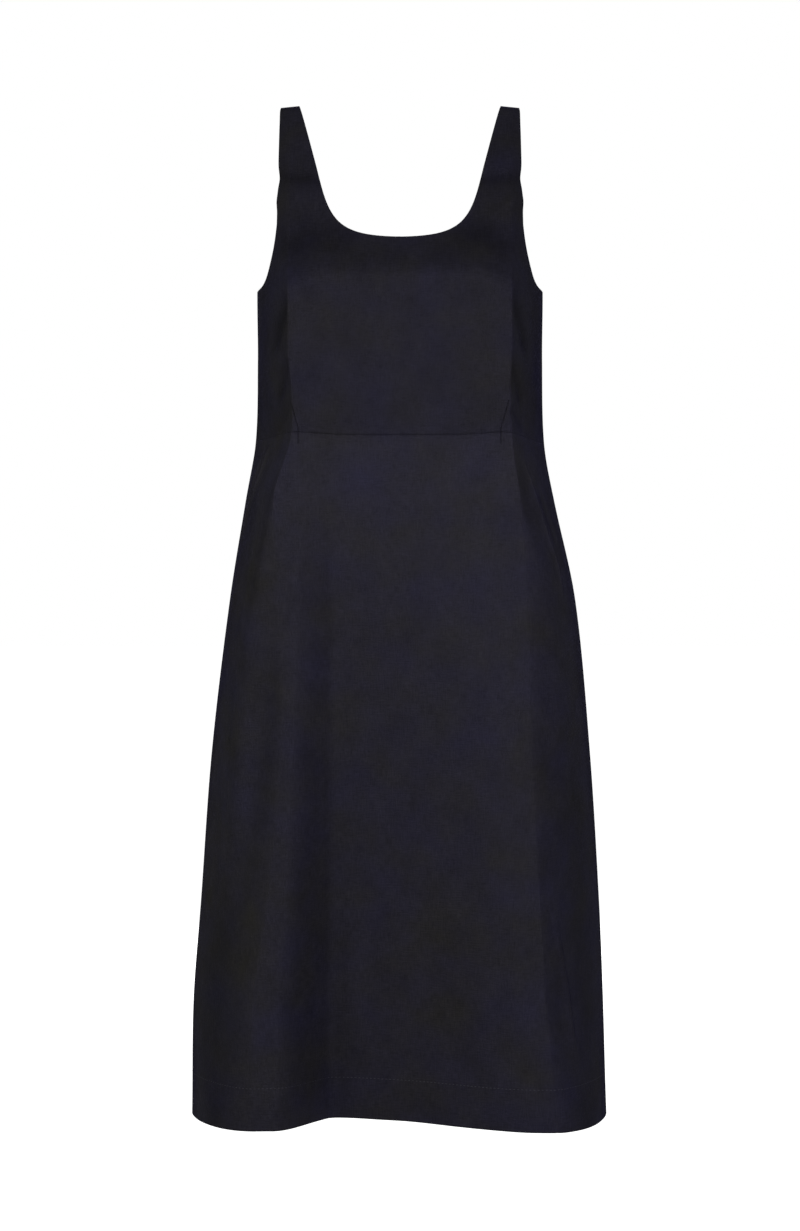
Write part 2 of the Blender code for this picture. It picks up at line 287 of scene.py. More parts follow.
FRONT_CREASES = (
    # Drag lines of the bodice, from the bust's corners and the darts to the side seams, with painted shade
    Crease(
        "drag under the right bust", 0.0110, -0.0024,
        ((-0.123, -0.228), (-0.129, -0.251), (-0.136, -0.271), (-0.142, -0.289), (-0.147, -0.308)),
        on_side=True, tone=-0.40,
    ),
    Crease(
        "drag under the left bust", 0.0110, -0.0024,
        ((0.127, -0.232), (0.134, -0.256), (0.139, -0.275), (0.143, -0.291), (0.147, -0.310)),
        on_side=True, tone=-0.34,
    ),
    Crease(
        "drag at the right ribs", 0.0090, -0.0018,
        ((-0.126, -0.305), (-0.129, -0.322), (-0.134, -0.338), (-0.141, -0.360)),
        fade=0.25, on_side=True, tone=-0.30,
    ),
    Crease(
        "drag at the left ribs", 0.0090, -0.0018,
        ((0.125, -0.306), (0.130, -0.328), (0.135, -0.341), (0.141, -0.363)),
        fade=0.25, on_side=True, tone=-0.24,
    ),
    Crease(
        "drag at the right waist", 0.0080, -0.0010,
        ((-0.126, -0.358), (-0.132, -0.372), (-0.141, -0.383), (-0.152, -0.391)),
        fade=0.25, on_side=True, tone=-0.08,
    ),
    Crease(
        "drag at the left waist", 0.0075, -0.0010, ((0.127, -0.362), (0.135, -0.376), (0.144, -0.387)),
        fade=0.25, on_side=True, tone=-0.08,
    ),
    # Straps, and the hollows between them and the bust, with painted shade in the pulls and hollows
    *both_sides(
        "pull across the strap", 0.0105, -0.0024, ((0.170, -0.092), (0.123, -0.094), (0.080, -0.100)),
        fade=0.1, tone=-0.30,
    ),
    *both_sides("swell below the pull", 0.0085, 0.0013, ((0.175, -0.121), (0.118, -0.123))),
    *both_sides(
        "hollow above the bust", 0.0180, -0.0008,
        ((0.168, -0.180), (0.118, -0.174), (0.100, -0.165), (0.071, -0.167), (0.034, -0.172)),
        fade=0.4, tone=-0.33,
    ),
    # Hips: thin ridges that the cloth is dragged into, with painted highlights, and hollows beside them, with
    # painted shade
    Crease(
        "drag at the right hip", 0.0055, 0.0018,
        ((-0.149, -0.402), (-0.156, -0.421), (-0.163, -0.443), (-0.176, -0.476), (-0.182, -0.492)),
        fade=0.2, profile=Profile.PINCH, tone=0.45,
    ),
    Crease(
        "second drag at the right hip", 0.0045, 0.0010,
        ((-0.158, -0.410), (-0.166, -0.432), (-0.174, -0.458)),
        profile=Profile.PINCH, tone=0.35,
    ),
    Crease(
        "hollow at the right hip", 0.0110, -0.0016,
        (
            (-0.136, -0.403), (-0.143, -0.443), (-0.151, -0.490),
            (-0.159, -0.536), (-0.167, -0.582), (-0.173, -0.628),
        ),
        on_side=True, tone=-0.16,
    ),
    Crease(
        "drag at the left hip", 0.0055, 0.0018,
        (
            (0.140, -0.420), (0.146, -0.440), (0.160, -0.482),
            (0.171, -0.516), (0.181, -0.545), (0.188, -0.580),
        ),
        fade=0.2, profile=Profile.PINCH, tone=0.45,
    ),
    Crease(
        "hollow outside it", 0.0060, -0.0012,
        ((0.157, -0.452), (0.166, -0.478), (0.176, -0.505), (0.185, -0.528)),
        tone=-0.18,
    ),
    Crease(
        "hollow at the left hip", 0.0110, -0.0016,
        ((0.133, -0.405), (0.138, -0.440), (0.144, -0.480), (0.152, -0.520), (0.159, -0.570)),
        on_side=True, tone=-0.20,
    ),
    # Skirt, with a painted highlight under the waist seam and painted shade down the sides
    Crease(
        "taut cloth under the waist seam", 0.0450, 0.0003,
        ((-0.170, -0.440), (0.000, -0.446), (0.170, -0.440)),
        fade=0.1, tone=0.09,
    ),
    Crease(
        "fold at the left hem", 0.0080, 0.0032,
        ((0.168, -0.905), (0.188, -1.014), (0.198, -1.080), (0.214, -1.134)),
        fade=0.35, profile=Profile.PINCH,
    ),
    Crease("hollow inside it", 0.0110, -0.0018, ((0.176, -1.010), (0.186, -1.070), (0.196, -1.120))),
    Crease(
        "fall of the right side", 0.0300, -0.0010,
        ((-0.205, -0.860), (-0.214, -1.000), (-0.216, -1.100), (-0.214, -1.360)),
        tone=-0.30,
    ),
    Crease(
        "fall of the left side", 0.0300, -0.0010,
        ((0.196, -0.700), (0.205, -0.860), (0.212, -1.000), (0.216, -1.100), (0.218, -1.360)),
        fade=0.25, tone=-0.22,
    ),
)

# The back doesn't show, so these are made up after those of the front
BACK_CREASES = (
    Crease("drag at the right ribs", 0.0090, -0.0020, ((-0.150, -0.262), (-0.128, -0.296), (-0.104, -0.318))),
    Crease("drag at the left ribs", 0.0080, -0.0017, ((0.152, -0.255), (0.131, -0.287), (0.110, -0.306))),
    Crease(
        "break at the right waist", 0.0075, -0.0017,
        ((-0.140, -0.352), (-0.108, -0.368), (-0.064, -0.374)),
    ),
    Crease("break at the left waist", 0.0080, -0.0021, ((0.146, -0.342), (0.112, -0.361), (0.070, -0.371))),
    Crease("second break, left", 0.0060, -0.0013, ((0.140, -0.366), (0.118, -0.379), (0.092, -0.384))),
    Crease(
        "drag at the right hip", 0.0100, -0.0022,
        ((-0.160, -0.430), (-0.140, -0.466), (-0.124, -0.520), (-0.118, -0.590)),
    ),
    Crease(
        "drag at the left hip", 0.0090, -0.0019,
        ((0.158, -0.425), (0.143, -0.458), (0.131, -0.505), (0.127, -0.560)),
    ),
    Crease("swell under the seat", 0.0220, -0.0024, ((-0.060, -0.720), (0.004, -0.744), (0.066, -0.722))),
    Crease("pull across the right strap", 0.0090, -0.0018, ((-0.146, -0.0930), (-0.104, -0.0990)), fade=0.2),
    Crease("pull across the left strap", 0.0085, -0.0020, ((0.146, -0.0900), (0.104, -0.0975)), fade=0.2),
    Crease("fold at the left hem", 0.0100, 0.0026, ((0.170, -0.930), (0.186, -1.010), (0.196, -1.100))),
    Crease("fold at the right hem", 0.0110, 0.0022, ((-0.176, -0.900), (-0.190, -0.990), (-0.198, -1.075))),
)

CREASES = {Face.FRONT: FRONT_CREASES, Face.BACK: BACK_CREASES}


def smoothstep(low: float, high: float, value: np.ndarray) -> np.ndarray:
    """0 below low, 1 above high, and a smooth rise between them."""
    share = np.clip((value - low) / (high - low), 0.0, 1.0)
    return share * share * (3 - 2 * share)


def cubic(
    start: np.ndarray, start_slope: np.ndarray, end: np.ndarray, end_slope: np.ndarray, u: np.ndarray
) -> np.ndarray:
    """Places on a cubic curve between two ends.

    Args:
        start: Where it starts.
        start_slope: Its slope there, for the whole of u.
        end: Where it ends.
        end_slope: Its slope there.
        u: How far along the places are, from 0 to 1.

    Returns:
        The places.
    """
    return (
        start * (2 * u**3 - 3 * u**2 + 1)
        + start_slope * (u**3 - 2 * u**2 + u)
        + end * (3 * u**2 - 2 * u**3)
        + end_slope * (u**3 - u**2)
    )


def smooth_curve(heights: np.ndarray, values: np.ndarray, z: np.ndarray) -> np.ndarray:
    """The values at heights z on a smooth curve through values at falling heights."""
    last = len(heights) - 1
    z = np.clip(z, heights[-1], heights[0])
    i = np.clip(np.searchsorted(-heights, -z, side="left") - 1, 0, last - 1)
    rows = [np.clip(i + k, 0, last) for k in (-1, 0, 1, 2)]
    h = [heights[row] for row in rows]
    v = [values[row] for row in rows]
    span = h[2] - h[1]
    u = (z - h[1]) / span
    start_slope = (v[2] - v[0]) / (h[2] - h[0]) * span
    end_slope = (v[3] - v[1]) / (h[3] - h[1]) * span
    return cubic(v[1], start_slope, v[2], end_slope, u)


def smooth_line(points: Sequence[tuple[float, float]], spacing: float) -> np.ndarray:
    """Points every spacing or less on a smooth curve through a few points.

    Args:
        points: Two or more points of the plane.
        spacing: The largest distance between neighbours.

    Returns:
        An array of shape (n, 2).
    """
    ends = np.array([points[0], *points, points[-1]], float)
    found = []
    for k in range(1, len(ends) - 2):
        before, start, end, after = ends[k - 1 : k + 3]
        steps = max(2, math.ceil(float(np.linalg.norm(end - start)) / spacing))
        u = np.linspace(0, 1, steps, endpoint=False)[:, None]
        found.append(cubic(start, (end - before) / 2, end, (after - start) / 2, u))
    return np.vstack([*found, ends[-1:]])


@dataclass(frozen=True)
class Chest:
    """How the front sinks at the bust line and above it."""

    sag: float = 0.016  # how far the bust line sinks towards the sides
    sag_x: tuple[float, float] = (0.085, 0.128)  # where it starts to sink, and where it has sunk
    sag_reach: float = 0.05  # how far above and below the bust line it sinks with it
    hollow: float = 0.008  # how far the cloth sinks in between the bust and the neck
    hollow_z: tuple[float, float, float] = (-0.214, -0.170, -0.020)  # where it starts, is deepest and ends
    hollow_x: tuple[float, float] = (0.122, 0.154)  # where it starts to end, and where it ends

    def sunk(self, x: np.ndarray, z: np.ndarray) -> np.ndarray:
        """How far the form sinks at x and z."""
        return self.sag * smoothstep(*self.sag_x, np.abs(x)) * np.exp(-(((z - BUST_Z) / self.sag_reach) ** 2))

    def pushed_in(self, x: np.ndarray, z: np.ndarray) -> np.ndarray:
        """How far the form is pushed in at x and z."""
        low, deepest, high = self.hollow_z
        depth = self.hollow * smoothstep(low, deepest, z) * (1 - smoothstep(deepest, high, z))
        return depth * (1 - smoothstep(*self.hollow_x, np.abs(x)))


@dataclass(frozen=True)
class WaistPull:
    """How the cloth near the waist seam is drawn up at the front darts, and hangs lower at the left side."""

    dart_x: float = 0.117
    dart_lift: float = 0.0032
    dart_spread: float = 0.034
    fade: float = 0.080  # how far above and below the seam it dies away
    droop: float = 0.003  # how far the seam sinks at the left side
    droop_x: float = 0.17  # where it has sunk

    def at(self, x: np.ndarray, z: np.ndarray, front: np.ndarray) -> np.ndarray:
        """How far the cloth is raised.

        Args:
            x: Where the waist seam is above or below the places.
            z: Heights of the places.
            front: Whether they are on the front.

        Returns:
            Metres, below 0 where the cloth hangs lower.
        """
        darts = front * self.dart_lift * np.exp(-(((np.abs(x) - self.dart_x) / self.dart_spread) ** 2))
        droop = self.droop * smoothstep(self.dart_x, self.droop_x, x)
        return (darts - droop) * np.maximum(0.0, 1 - np.abs(z - WAIST_Z) / self.fade)


# Steps of a rounding, in half heights of it, and their weights out of 16
ROUNDING = ((-1.0, 1), (-0.5, 4), (0.0, 6), (0.5, 4), (1.0, 1))
ROUNDING_TOTAL = 16


@dataclass(frozen=True)
class BodyForm:
    """The general figure that the dress is filled out on, with the broad folds of the skirt."""

    sections: tuple[Section, ...] = SECTIONS
    folds: tuple[Fold, ...] = FOLDS
    swells: tuple[Swell, ...] = SWELLS
    creases: dict[Face, tuple[Crease, ...]] = field(default_factory=lambda: CREASES)
    shoulders: tuple[tuple[Face, Shoulder], ...] = (
        (Face.FRONT, Shoulder(0.23, 0.06)),
        (Face.BACK, Shoulder(0.55, 0.22)),
    )
    fold_growth: float = 1.25
    fold_waist_reach: float = 0.55
    fold_blend: float = 0.020  # how far to each side of its middle a fold's two reaches blend
    swell_start: float = 0.03  # height below the waist in which the swells rise
    bust_softness: float = 0.018  # half the height of the rounding at the bust line
    chest: Chest = Chest()
    waist: WaistPull = WaistPull()
    crease_step: float = 0.003
    crease_reach: float = 3.0  # how far a crease is followed to each side, in its widths
    side_slant: tuple[float, float] = (1.1, 1.6)  # slants at which the sides begin, for creases with on_side
    least_facing: float = 0.25  # limits the slant

    def level(self, column: str, z: np.ndarray) -> np.ndarray:
        """A column of the sections at heights z, on a smooth curve through them."""
        heights = np.array([section.z for section in self.sections])
        values = np.array([getattr(section, column) for section in self.sections])
        return smooth_curve(heights, values, z)

    def depth(self, face: Face, z: np.ndarray) -> np.ndarray:
        """How far the front or the back stands out at heights z, rounded over at the bust line."""
        shoulder = dict(self.shoulders)[face]
        column = "front" if face is Face.FRONT else "back"

        def lean(u: np.ndarray) -> np.ndarray:
            """How far the cloth leans out, at shares u of the way down to the bust line."""
            return shoulder.rounding * (1 - np.exp(-u / shoulder.reach)) + (1 - shoulder.rounding) * u

        def sharp(height: np.ndarray) -> np.ndarray:
            """The depth at heights, before the bust line is rounded."""
            above = self.level(column, np.full_like(height, BUST_Z)) * lean(height / BUST_Z) / lean(1.0)
            return np.where(height <= BUST_Z, self.level(column, height), above)

        rounded = sum(weight * sharp(z + step * self.bust_softness) for step, weight in ROUNDING)
        rounded = rounded / ROUNDING_TOTAL
        return np.where(np.abs(z - BUST_Z) < 2 * self.bust_softness, rounded, sharp(z))

    def fold_depth(self, face: Face, x: np.ndarray, z: np.ndarray) -> np.ndarray:
        """How far all broad folds of a face together push the cloth inwards."""
        down = np.maximum(0.0, (WAIST_Z - z) / (WAIST_Z - HEM_Z))
        total = np.zeros_like(x)
        for fold in self.folds:
            if fold.face is not face:
                continue
            middle = fold.x_waist + (fold.x_hem - fold.x_waist) * down
            share = smoothstep(-self.fold_blend, self.fold_blend, x - middle)
            reach = fold.reach_low + (fold.reach_high - fold.reach_low) * share
            reach = reach * (self.fold_waist_reach + (1 - self.fold_waist_reach) * down)
            away = np.minimum(1.0, np.abs(x - middle) / reach)
            total += fold.depth * down**self.fold_growth * (1 + np.cos(np.pi * away)) / 2
        return total

    def swell(self, x: np.ndarray, z: np.ndarray) -> np.ndarray:
        """How far the swells and hollows of the front skirt lift the cloth at x and z."""
        total = np.zeros_like(x)
        heights = np.array(SWELL_Z)
        for row in self.swells:
            middle, width, height = (
                smooth_curve(heights, np.array(values), z) for values in (row.middle, row.width, row.height)
            )
            total += height * np.exp(-(((x - middle) / width) ** 2))
        return total * np.clip((WAIST_Z - z) / self.swell_start, 0.0, 1.0)

    def point(self, w: np.ndarray, z: np.ndarray) -> np.ndarray:
        """The points of the form at stations w and heights z, as an array of shape (n, 3)."""
        w = (w + 2) % 4 - 2
        front = np.abs(w) <= 1
        side = np.where(w >= 0, 1.0, -1.0)
        station = np.where(front, np.abs(w), 2 - np.abs(w))
        flat_front = np.where(side > 0, self.level("flat_left", z), self.level("flat_right", z))
        flat = np.where(front, flat_front, self.level("flat_back", z))
        bevel = np.where(front, self.level("bevel_front", z), self.level("bevel_back", z))
        turn = np.maximum(0.0, (station - CORNER) / (1 - CORNER)) * np.pi / 2
        sideways, ahead = np.sin(turn), np.maximum(0.0, np.cos(turn))
        reach = (self.level("half_width", z) - flat) * sideways**bevel
        x = side * (flat * np.minimum(1.0, station / CORNER) + reach)
        unsunk = np.minimum(z + self.chest.sunk(x, z), 0.0)
        front_y = self.depth(Face.FRONT, unsunk) * ahead**bevel - self.chest.pushed_in(x, z)
        front_y -= self.fold_depth(Face.FRONT, x, z)
        back_y = self.depth(Face.BACK, z) * ahead**bevel - self.fold_depth(Face.BACK, x, z)
        rise = np.where(front, self.swell(x, z), 0.0)
        x = x + side * rise * sideways + self.level("sway", z)
        return np.stack([x, np.where(front, -front_y - rise * ahead, back_y), z], axis=1)

    def outward(self, w: np.ndarray, z: np.ndarray) -> np.ndarray:
        """The directions that face away from the inside."""
        across = self.point(w + PROBE, z) - self.point(w - PROBE, z)
        up = self.point(w, np.minimum(z + PROBE, 0.0)) - self.point(w, np.maximum(z - PROBE, HEM_Z))
        normal = np.cross(across, up)
        return normal / np.linalg.norm(normal, axis=1, keepdims=True)

    def station_at(self, face: Face, x: np.ndarray, z: np.ndarray) -> np.ndarray:
        """How many stations from the centre the form is x wide, at heights z of the bodice."""
        flat = self.level("flat_back" if face is Face.BACK else "flat_left", z)
        bevel = self.level("bevel_back" if face is Face.BACK else "bevel_front", z)
        past = np.clip((x - flat) / (self.level("half_width", z) - flat), 0.0, 1.0)
        turn = np.arcsin(past ** (1 / bevel)) / (np.pi / 2)
        return np.where(x <= flat, CORNER * x / flat, CORNER + (1 - CORNER) * turn)

    def shares(
        self, face: Face, x: np.ndarray, z: np.ndarray, slant: np.ndarray
    ) -> Iterator[tuple[Crease, np.ndarray, np.ndarray]]:
        """How fully the creases of a face show.

        Args:
            face: The front or the back.
            x: Where the places lie from side to side.
            z: Their heights.
            slant: Metres of cloth to a metre of x, so that a crease is as wide round the sides.

        Yields:
            Each crease, the numbers of the places that it reaches, and how fully it shows there.
        """
        for crease in self.creases[face]:
            line = smooth_line(crease.line, self.crease_step)
            reach = self.crease_reach * crease.width
            low, high = line.min(0) - reach, line.max(0) + reach
            near = np.flatnonzero((x > low[0]) & (x < high[0]) & (z > low[1]) & (z < high[1]))
            if not len(near):
                continue
            gaps = np.hypot((x[near, None] - line[:, 0]) * slant[near, None], z[near, None] - line[:, 1])
            closest = gaps.argmin(1)
            away = gaps[np.arange(len(near)), closest] / crease.width
            along = closest / (len(line) - 1)
            share = smoothstep(0, crease.fade, along) * smoothstep(0, crease.fade, 1 - along)
            share = share * crease.profile.across(away)
            if crease.on_side:
                share = share * smoothstep(*self.side_slant, slant[near])
            yield crease, near, share

    def lift(self, w: np.ndarray, z: np.ndarray) -> np.ndarray:
        """How far the cloth at stations w and heights z is raised by the pull at the waist seam."""
        at_waist = self.point(w, np.full_like(z, WAIST_Z))[:, 0]
        return self.waist.at(at_waist, z, np.abs((w + 2) % 4 - 2) <= 1)

    def cloth(
        self, face: Face, distance: np.ndarray, z: np.ndarray
    ) -> tuple[np.ndarray, np.ndarray, np.ndarray]:
        """The outer points of the cloth, the directions that face away from it, and its painted highlight and
        shade.

        Args:
            face: The front or the back.
            distance: Stations, counted from the centre of the face.
            z: Heights.

        Returns:
            Points and unit normals, each of shape (n, 3), and the painted highlight and shade of the creases,
            of shape (n,).
        """
        w = distance + face.value
        base, normal = self.point(w, z), self.outward(w, z)
        slant = 1 / np.maximum(np.abs(normal[:, 1]), self.least_facing)
        # besides lifting the cloth, each crease paints a highlight or a shade into the cloth's colour
        relief, tone = np.zeros_like(z), np.zeros_like(z)
        for crease, near, share in self.shares(face, base[:, 0], z, slant):
            relief[near] += crease.height * share
            tone[near] += crease.tone * share
        outer = base + normal * relief[:, None]
        outer[:, 2] += self.lift(w, z)
        return outer, normal, tone


Settle = Callable[[np.ndarray, np.ndarray, np.ndarray, np.ndarray], None]


def at_side_seam(distance: np.ndarray) -> np.ndarray:
    """Whether places lie on a side seam."""
    return np.abs(np.abs(distance) - 1) < SEAM_TOLERANCE


def add_object(name: str, data: bpy.types.ID) -> bpy.types.Object:
    """Add a new object to the scene."""
    made = bpy.data.objects.new(name, data)
    bpy.context.collection.objects.link(made)
    return made


@dataclass
class ClothWall:
    """A closed wall of cloth on the form, made of rows of places that are joined in pairs."""

    form: BodyForm
    face: Face
    stations: list[np.ndarray] = field(default_factory=list)
    heights: list[np.ndarray] = field(default_factory=list)
    quads: list[np.ndarray] = field(default_factory=list)
    count: int = 0
    rim_bulge: float = 0.45  # how far a cut edge rounds out, as a share of the cloth's thickness
    girth_steps: int = 80  # places from the centre to a side, for measuring the way round
    girth_levels: int = 60

    def add_row(self, stations: np.ndarray, heights: np.ndarray) -> np.ndarray:
        """Add a row of places, its stations counted from the face's centre, and give the places' numbers."""
        self.stations.append(np.asarray(stations, float))
        self.heights.append(np.broadcast_to(heights, np.shape(stations)).astype(float))
        keys = np.arange(self.count, self.count + len(stations))
        self.count += len(stations)
        return keys

    def join(self, low: np.ndarray, high: np.ndarray) -> None:
        """Lay a band of faces between a row and the row above it, both of the same length."""
        self.quads.append(np.stack([low[:-1], low[1:], high[1:], high[:-1]], axis=1))

    def piece(
        self,
        name: str,
        material: bpy.types.Material,
        thickness: Callable[[np.ndarray], np.ndarray],
        settle: Settle,
    ) -> bpy.types.Object:
        """Make the wall.

        Args:
            name: The piece's name.
            material: Its cloth.
            thickness: Gives the thickness of the cloth at heights.
            settle: Moves the outer and the inner points, given with their stations and heights, in place.

        Returns:
            The new object, with a UV map in metres of cloth and the painted highlight and shade of its
            creases.
        """
        distance, z = np.concatenate(self.stations), np.concatenate(self.heights)
        outer, normal, tone = self.form.cloth(self.face, distance, z)
        inner = outer - normal * thickness(z)[:, None]
        settle(outer, inner, distance, z)

        quads = np.concatenate(self.quads)
        edges = np.concatenate([quads[:, [k, (k + 1) % 4]] for k in range(4)])
        codes = edges[:, 0] * self.count + edges[:, 1]
        border = edges[~np.isin(codes, edges[:, 1] * self.count + edges[:, 0])]
        rim = np.unique(border)
        edge = self.cut_edge(outer, inner, normal, quads, rim)
        edge_key = np.zeros(self.count, int)
        edge_key[rim] = 2 * self.count + np.arange(len(rim))

        start, end = border[:, 0], border[:, 1]
        faces = np.concatenate(
            [
                quads,
                quads[:, ::-1] + self.count,
                np.stack([end, start, edge_key[start], edge_key[end]], axis=1),
                np.stack([edge_key[end], edge_key[start], start + self.count, end + self.count], axis=1),
            ]
        )
        mesh = bpy.data.meshes.new(name)
        mesh.from_pydata(np.concatenate([outer, inner, edge]), [], faces)
        mesh.validate()
        across = self.girth(distance, z)
        cloth = np.stack([across, z], axis=1)
        places = np.concatenate([cloth, cloth, cloth[rim]])
        uv = mesh.uv_layers.new(name="Cloth")
        loops = np.zeros(len(mesh.loops), int)
        mesh.loops.foreach_get("vertex_index", loops)
        uv.data.foreach_set("uv", places[loops].ravel())
        # the creases' painted highlight and shade, kept for the material to read
        painted_shadings = mesh.attributes.new("PaintedShading", "FLOAT", "POINT")
        painted_shadings.data.foreach_set("value", np.concatenate([tone, tone, tone[rim]]))
        mesh.shade_smooth()
        mesh.materials.append(material)
        return add_object(name, mesh)

    def cut_edge(
        self, outer: np.ndarray, inner: np.ndarray, normal: np.ndarray, quads: np.ndarray, rim: np.ndarray
    ) -> np.ndarray:
        """The middle of the cut edge, which bulges out from the cloth.

        Args:
            outer: The outer points.
            inner: The inner points.
            normal: The directions that face away from the cloth.
            quads: The faces, by their places' numbers.
            rim: The numbers of the places at the edge.

        Returns:
            A point for each place at the edge.
        """
        middle = outer[quads].mean(1)
        away = np.zeros_like(outer)
        for k in range(4):
            np.add.at(away, quads[:, k], outer[quads[:, k]] - middle)
        away = away[rim]
        away -= (away * normal[rim]).sum(1, keepdims=True) * normal[rim]
        away /= np.linalg.norm(away, axis=1, keepdims=True)
        bulge = self.rim_bulge * np.linalg.norm(outer[rim] - inner[rim], axis=1, keepdims=True)
        return (outer[rim] + inner[rim]) / 2 + away * bulge

    def girth(self, distance: np.ndarray, z: np.ndarray) -> np.ndarray:
        """How far round the cloth each place lies from the centre of its face, in metres."""
        steps, levels = self.girth_steps, self.girth_levels
        inside = 1e-6  # keeps the last places within their cells
        stations = np.linspace(-1, 1, 2 * steps + 1)
        heights = np.linspace(HEM_Z, 0, levels)
        grid_w, grid_z = np.meshgrid(stations + self.face.value, heights)
        points = self.form.point(grid_w.ravel(), grid_z.ravel()).reshape(levels, -1, 3)
        runs = np.linalg.norm(np.diff(points, axis=1), axis=2)
        table = np.concatenate([np.zeros((levels, 1)), np.cumsum(runs, axis=1)], axis=1)
        table -= table[:, steps : steps + 1]
        column = np.clip((distance + 1) * steps, 0, 2 * steps - inside)
        row = np.clip((z - HEM_Z) / -HEM_Z * (levels - 1), 0, levels - 1 - inside)
        i, j = row.astype(int), column.astype(int)
        v, u = row - i, column - j
        below = table[i, j] * (1 - u) + table[i, j + 1] * u
        above = table[i + 1, j] * (1 - u) + table[i + 1, j + 1] * u
        return below * (1 - v) + above * v


def add_node(
    tree: bpy.types.NodeTree,
    kind: str,
    inputs: dict[str | int, object] | None = None,
    **settings: object,
) -> bpy.types.Node:
    """Add a node to a tree.

    Args:
        tree: The material's, world's or geometry tree.
        kind: The node's type name.
        inputs: For each input, by name or number, a value or the output socket to link it to.
        settings: The node's own properties.

    Returns:
        The new node.
    """
    node = tree.nodes.new(kind)
    for name, value in settings.items():
        setattr(node, name, value)
    for key, value in (inputs or {}).items():
        if isinstance(value, bpy.types.NodeSocket):
            tree.links.new(value, node.inputs[key])
        else:
            node.inputs[key].default_value = value
    return node


def calculate(
    tree: bpy.types.NodeTree, operation: str, first: object, second: object
) -> bpy.types.NodeSocket:
    """The result of an operation on two numbers, each a value or a socket."""
    return add_node(tree, "ShaderNodeMath", {0: first, 1: second}, operation=operation).outputs[0]


def ranged(
    tree: bpy.types.NodeTree,
    value: bpy.types.NodeSocket,
    from_range: tuple[float, float],
    to_range: tuple[float, float],
    kind: str = "LINEAR",
) -> bpy.types.NodeSocket:
    """A value brought from one range to another.

    Args:
        tree: The material's or world's tree.
        value: The socket that gives the value.
        from_range: Its range.
        to_range: The range to bring it to.
        kind: The way between the ends.

    Returns:
        The socket that gives the new value.
    """
    inputs = {
        "Value": value,
        "From Min": from_range[0],
        "From Max": from_range[1],
        "To Min": to_range[0],
        "To Max": to_range[1],
    }
    return add_node(tree, "ShaderNodeMapRange", inputs, interpolation_type=kind).outputs["Result"]


def linear(hex_colour: str) -> tuple[float, float, float, float]:
    """Linear red, green, blue and alpha of an sRGB hex colour such as #22212A."""
    channels = [int(hex_colour[i : i + 2], 16) / 255 for i in (1, 3, 5)]
    red, green, blue = (c / 12.92 if c <= 0.04045 else ((c + 0.055) / 1.055) ** 2.4 for c in channels)
    return red, green, blue, 1.0


def new_material(name: str) -> tuple[bpy.types.Material, bpy.types.Node]:
    """A material with an empty Principled shader, and that shader."""
    material = bpy.data.materials.new(name)
    material.use_nodes = True
    return material, material.node_tree.nodes["Principled BSDF"]


@dataclass(frozen=True)
class SeamLine:
    """A straight pressed seam of a few centimetres, drawn in the cloth's own map."""

    start: tuple[float, float]
    end: tuple[float, float]
    width: float = 0.0011

    def depth(self, tree: bpy.types.NodeTree, cloth: bpy.types.NodeSocket) -> bpy.types.NodeSocket:
        """1 on the line, falling to 0 at its width.

        Args:
            tree: The material's tree.
            cloth: The place in the cloth's map, in metres.

        Returns:
            The socket that gives the depth.
        """
        start = Vector((*self.start, 0.0))
        run = Vector((*self.end, 0.0)) - start
        away = add_node(tree, "ShaderNodeVectorMath", {0: cloth, 1: start}, operation="SUBTRACT").outputs[0]
        along = add_node(
            tree, "ShaderNodeVectorMath", {0: away, 1: run / run.length_squared}, operation="DOT_PRODUCT"
        ).outputs["Value"]
        share = add_node(tree, "ShaderNodeClamp", {"Value": along}).outputs[0]
        scaled = {0: run, "Scale": share}
        nearest = add_node(tree, "ShaderNodeVectorMath", scaled, operation="SCALE").outputs[0]
        ends = {0: away, 1: nearest}
        gap = add_node(tree, "ShaderNodeVectorMath", ends, operation="DISTANCE").outputs["Value"]
        return ranged(tree, gap, (0.0, self.width), (1.0, 0.0), "SMOOTHSTEP")


WAVE_LENGTH = math.pi / 10  # from band to band of a drawn wave whose scale is 1

# What the drawn values mostly range over
SLUB_RANGE = (0.7, 1.3)
UNEVEN_RANGE = (0.3, 0.7)
PATCH_RANGE = (0.25, 0.75)


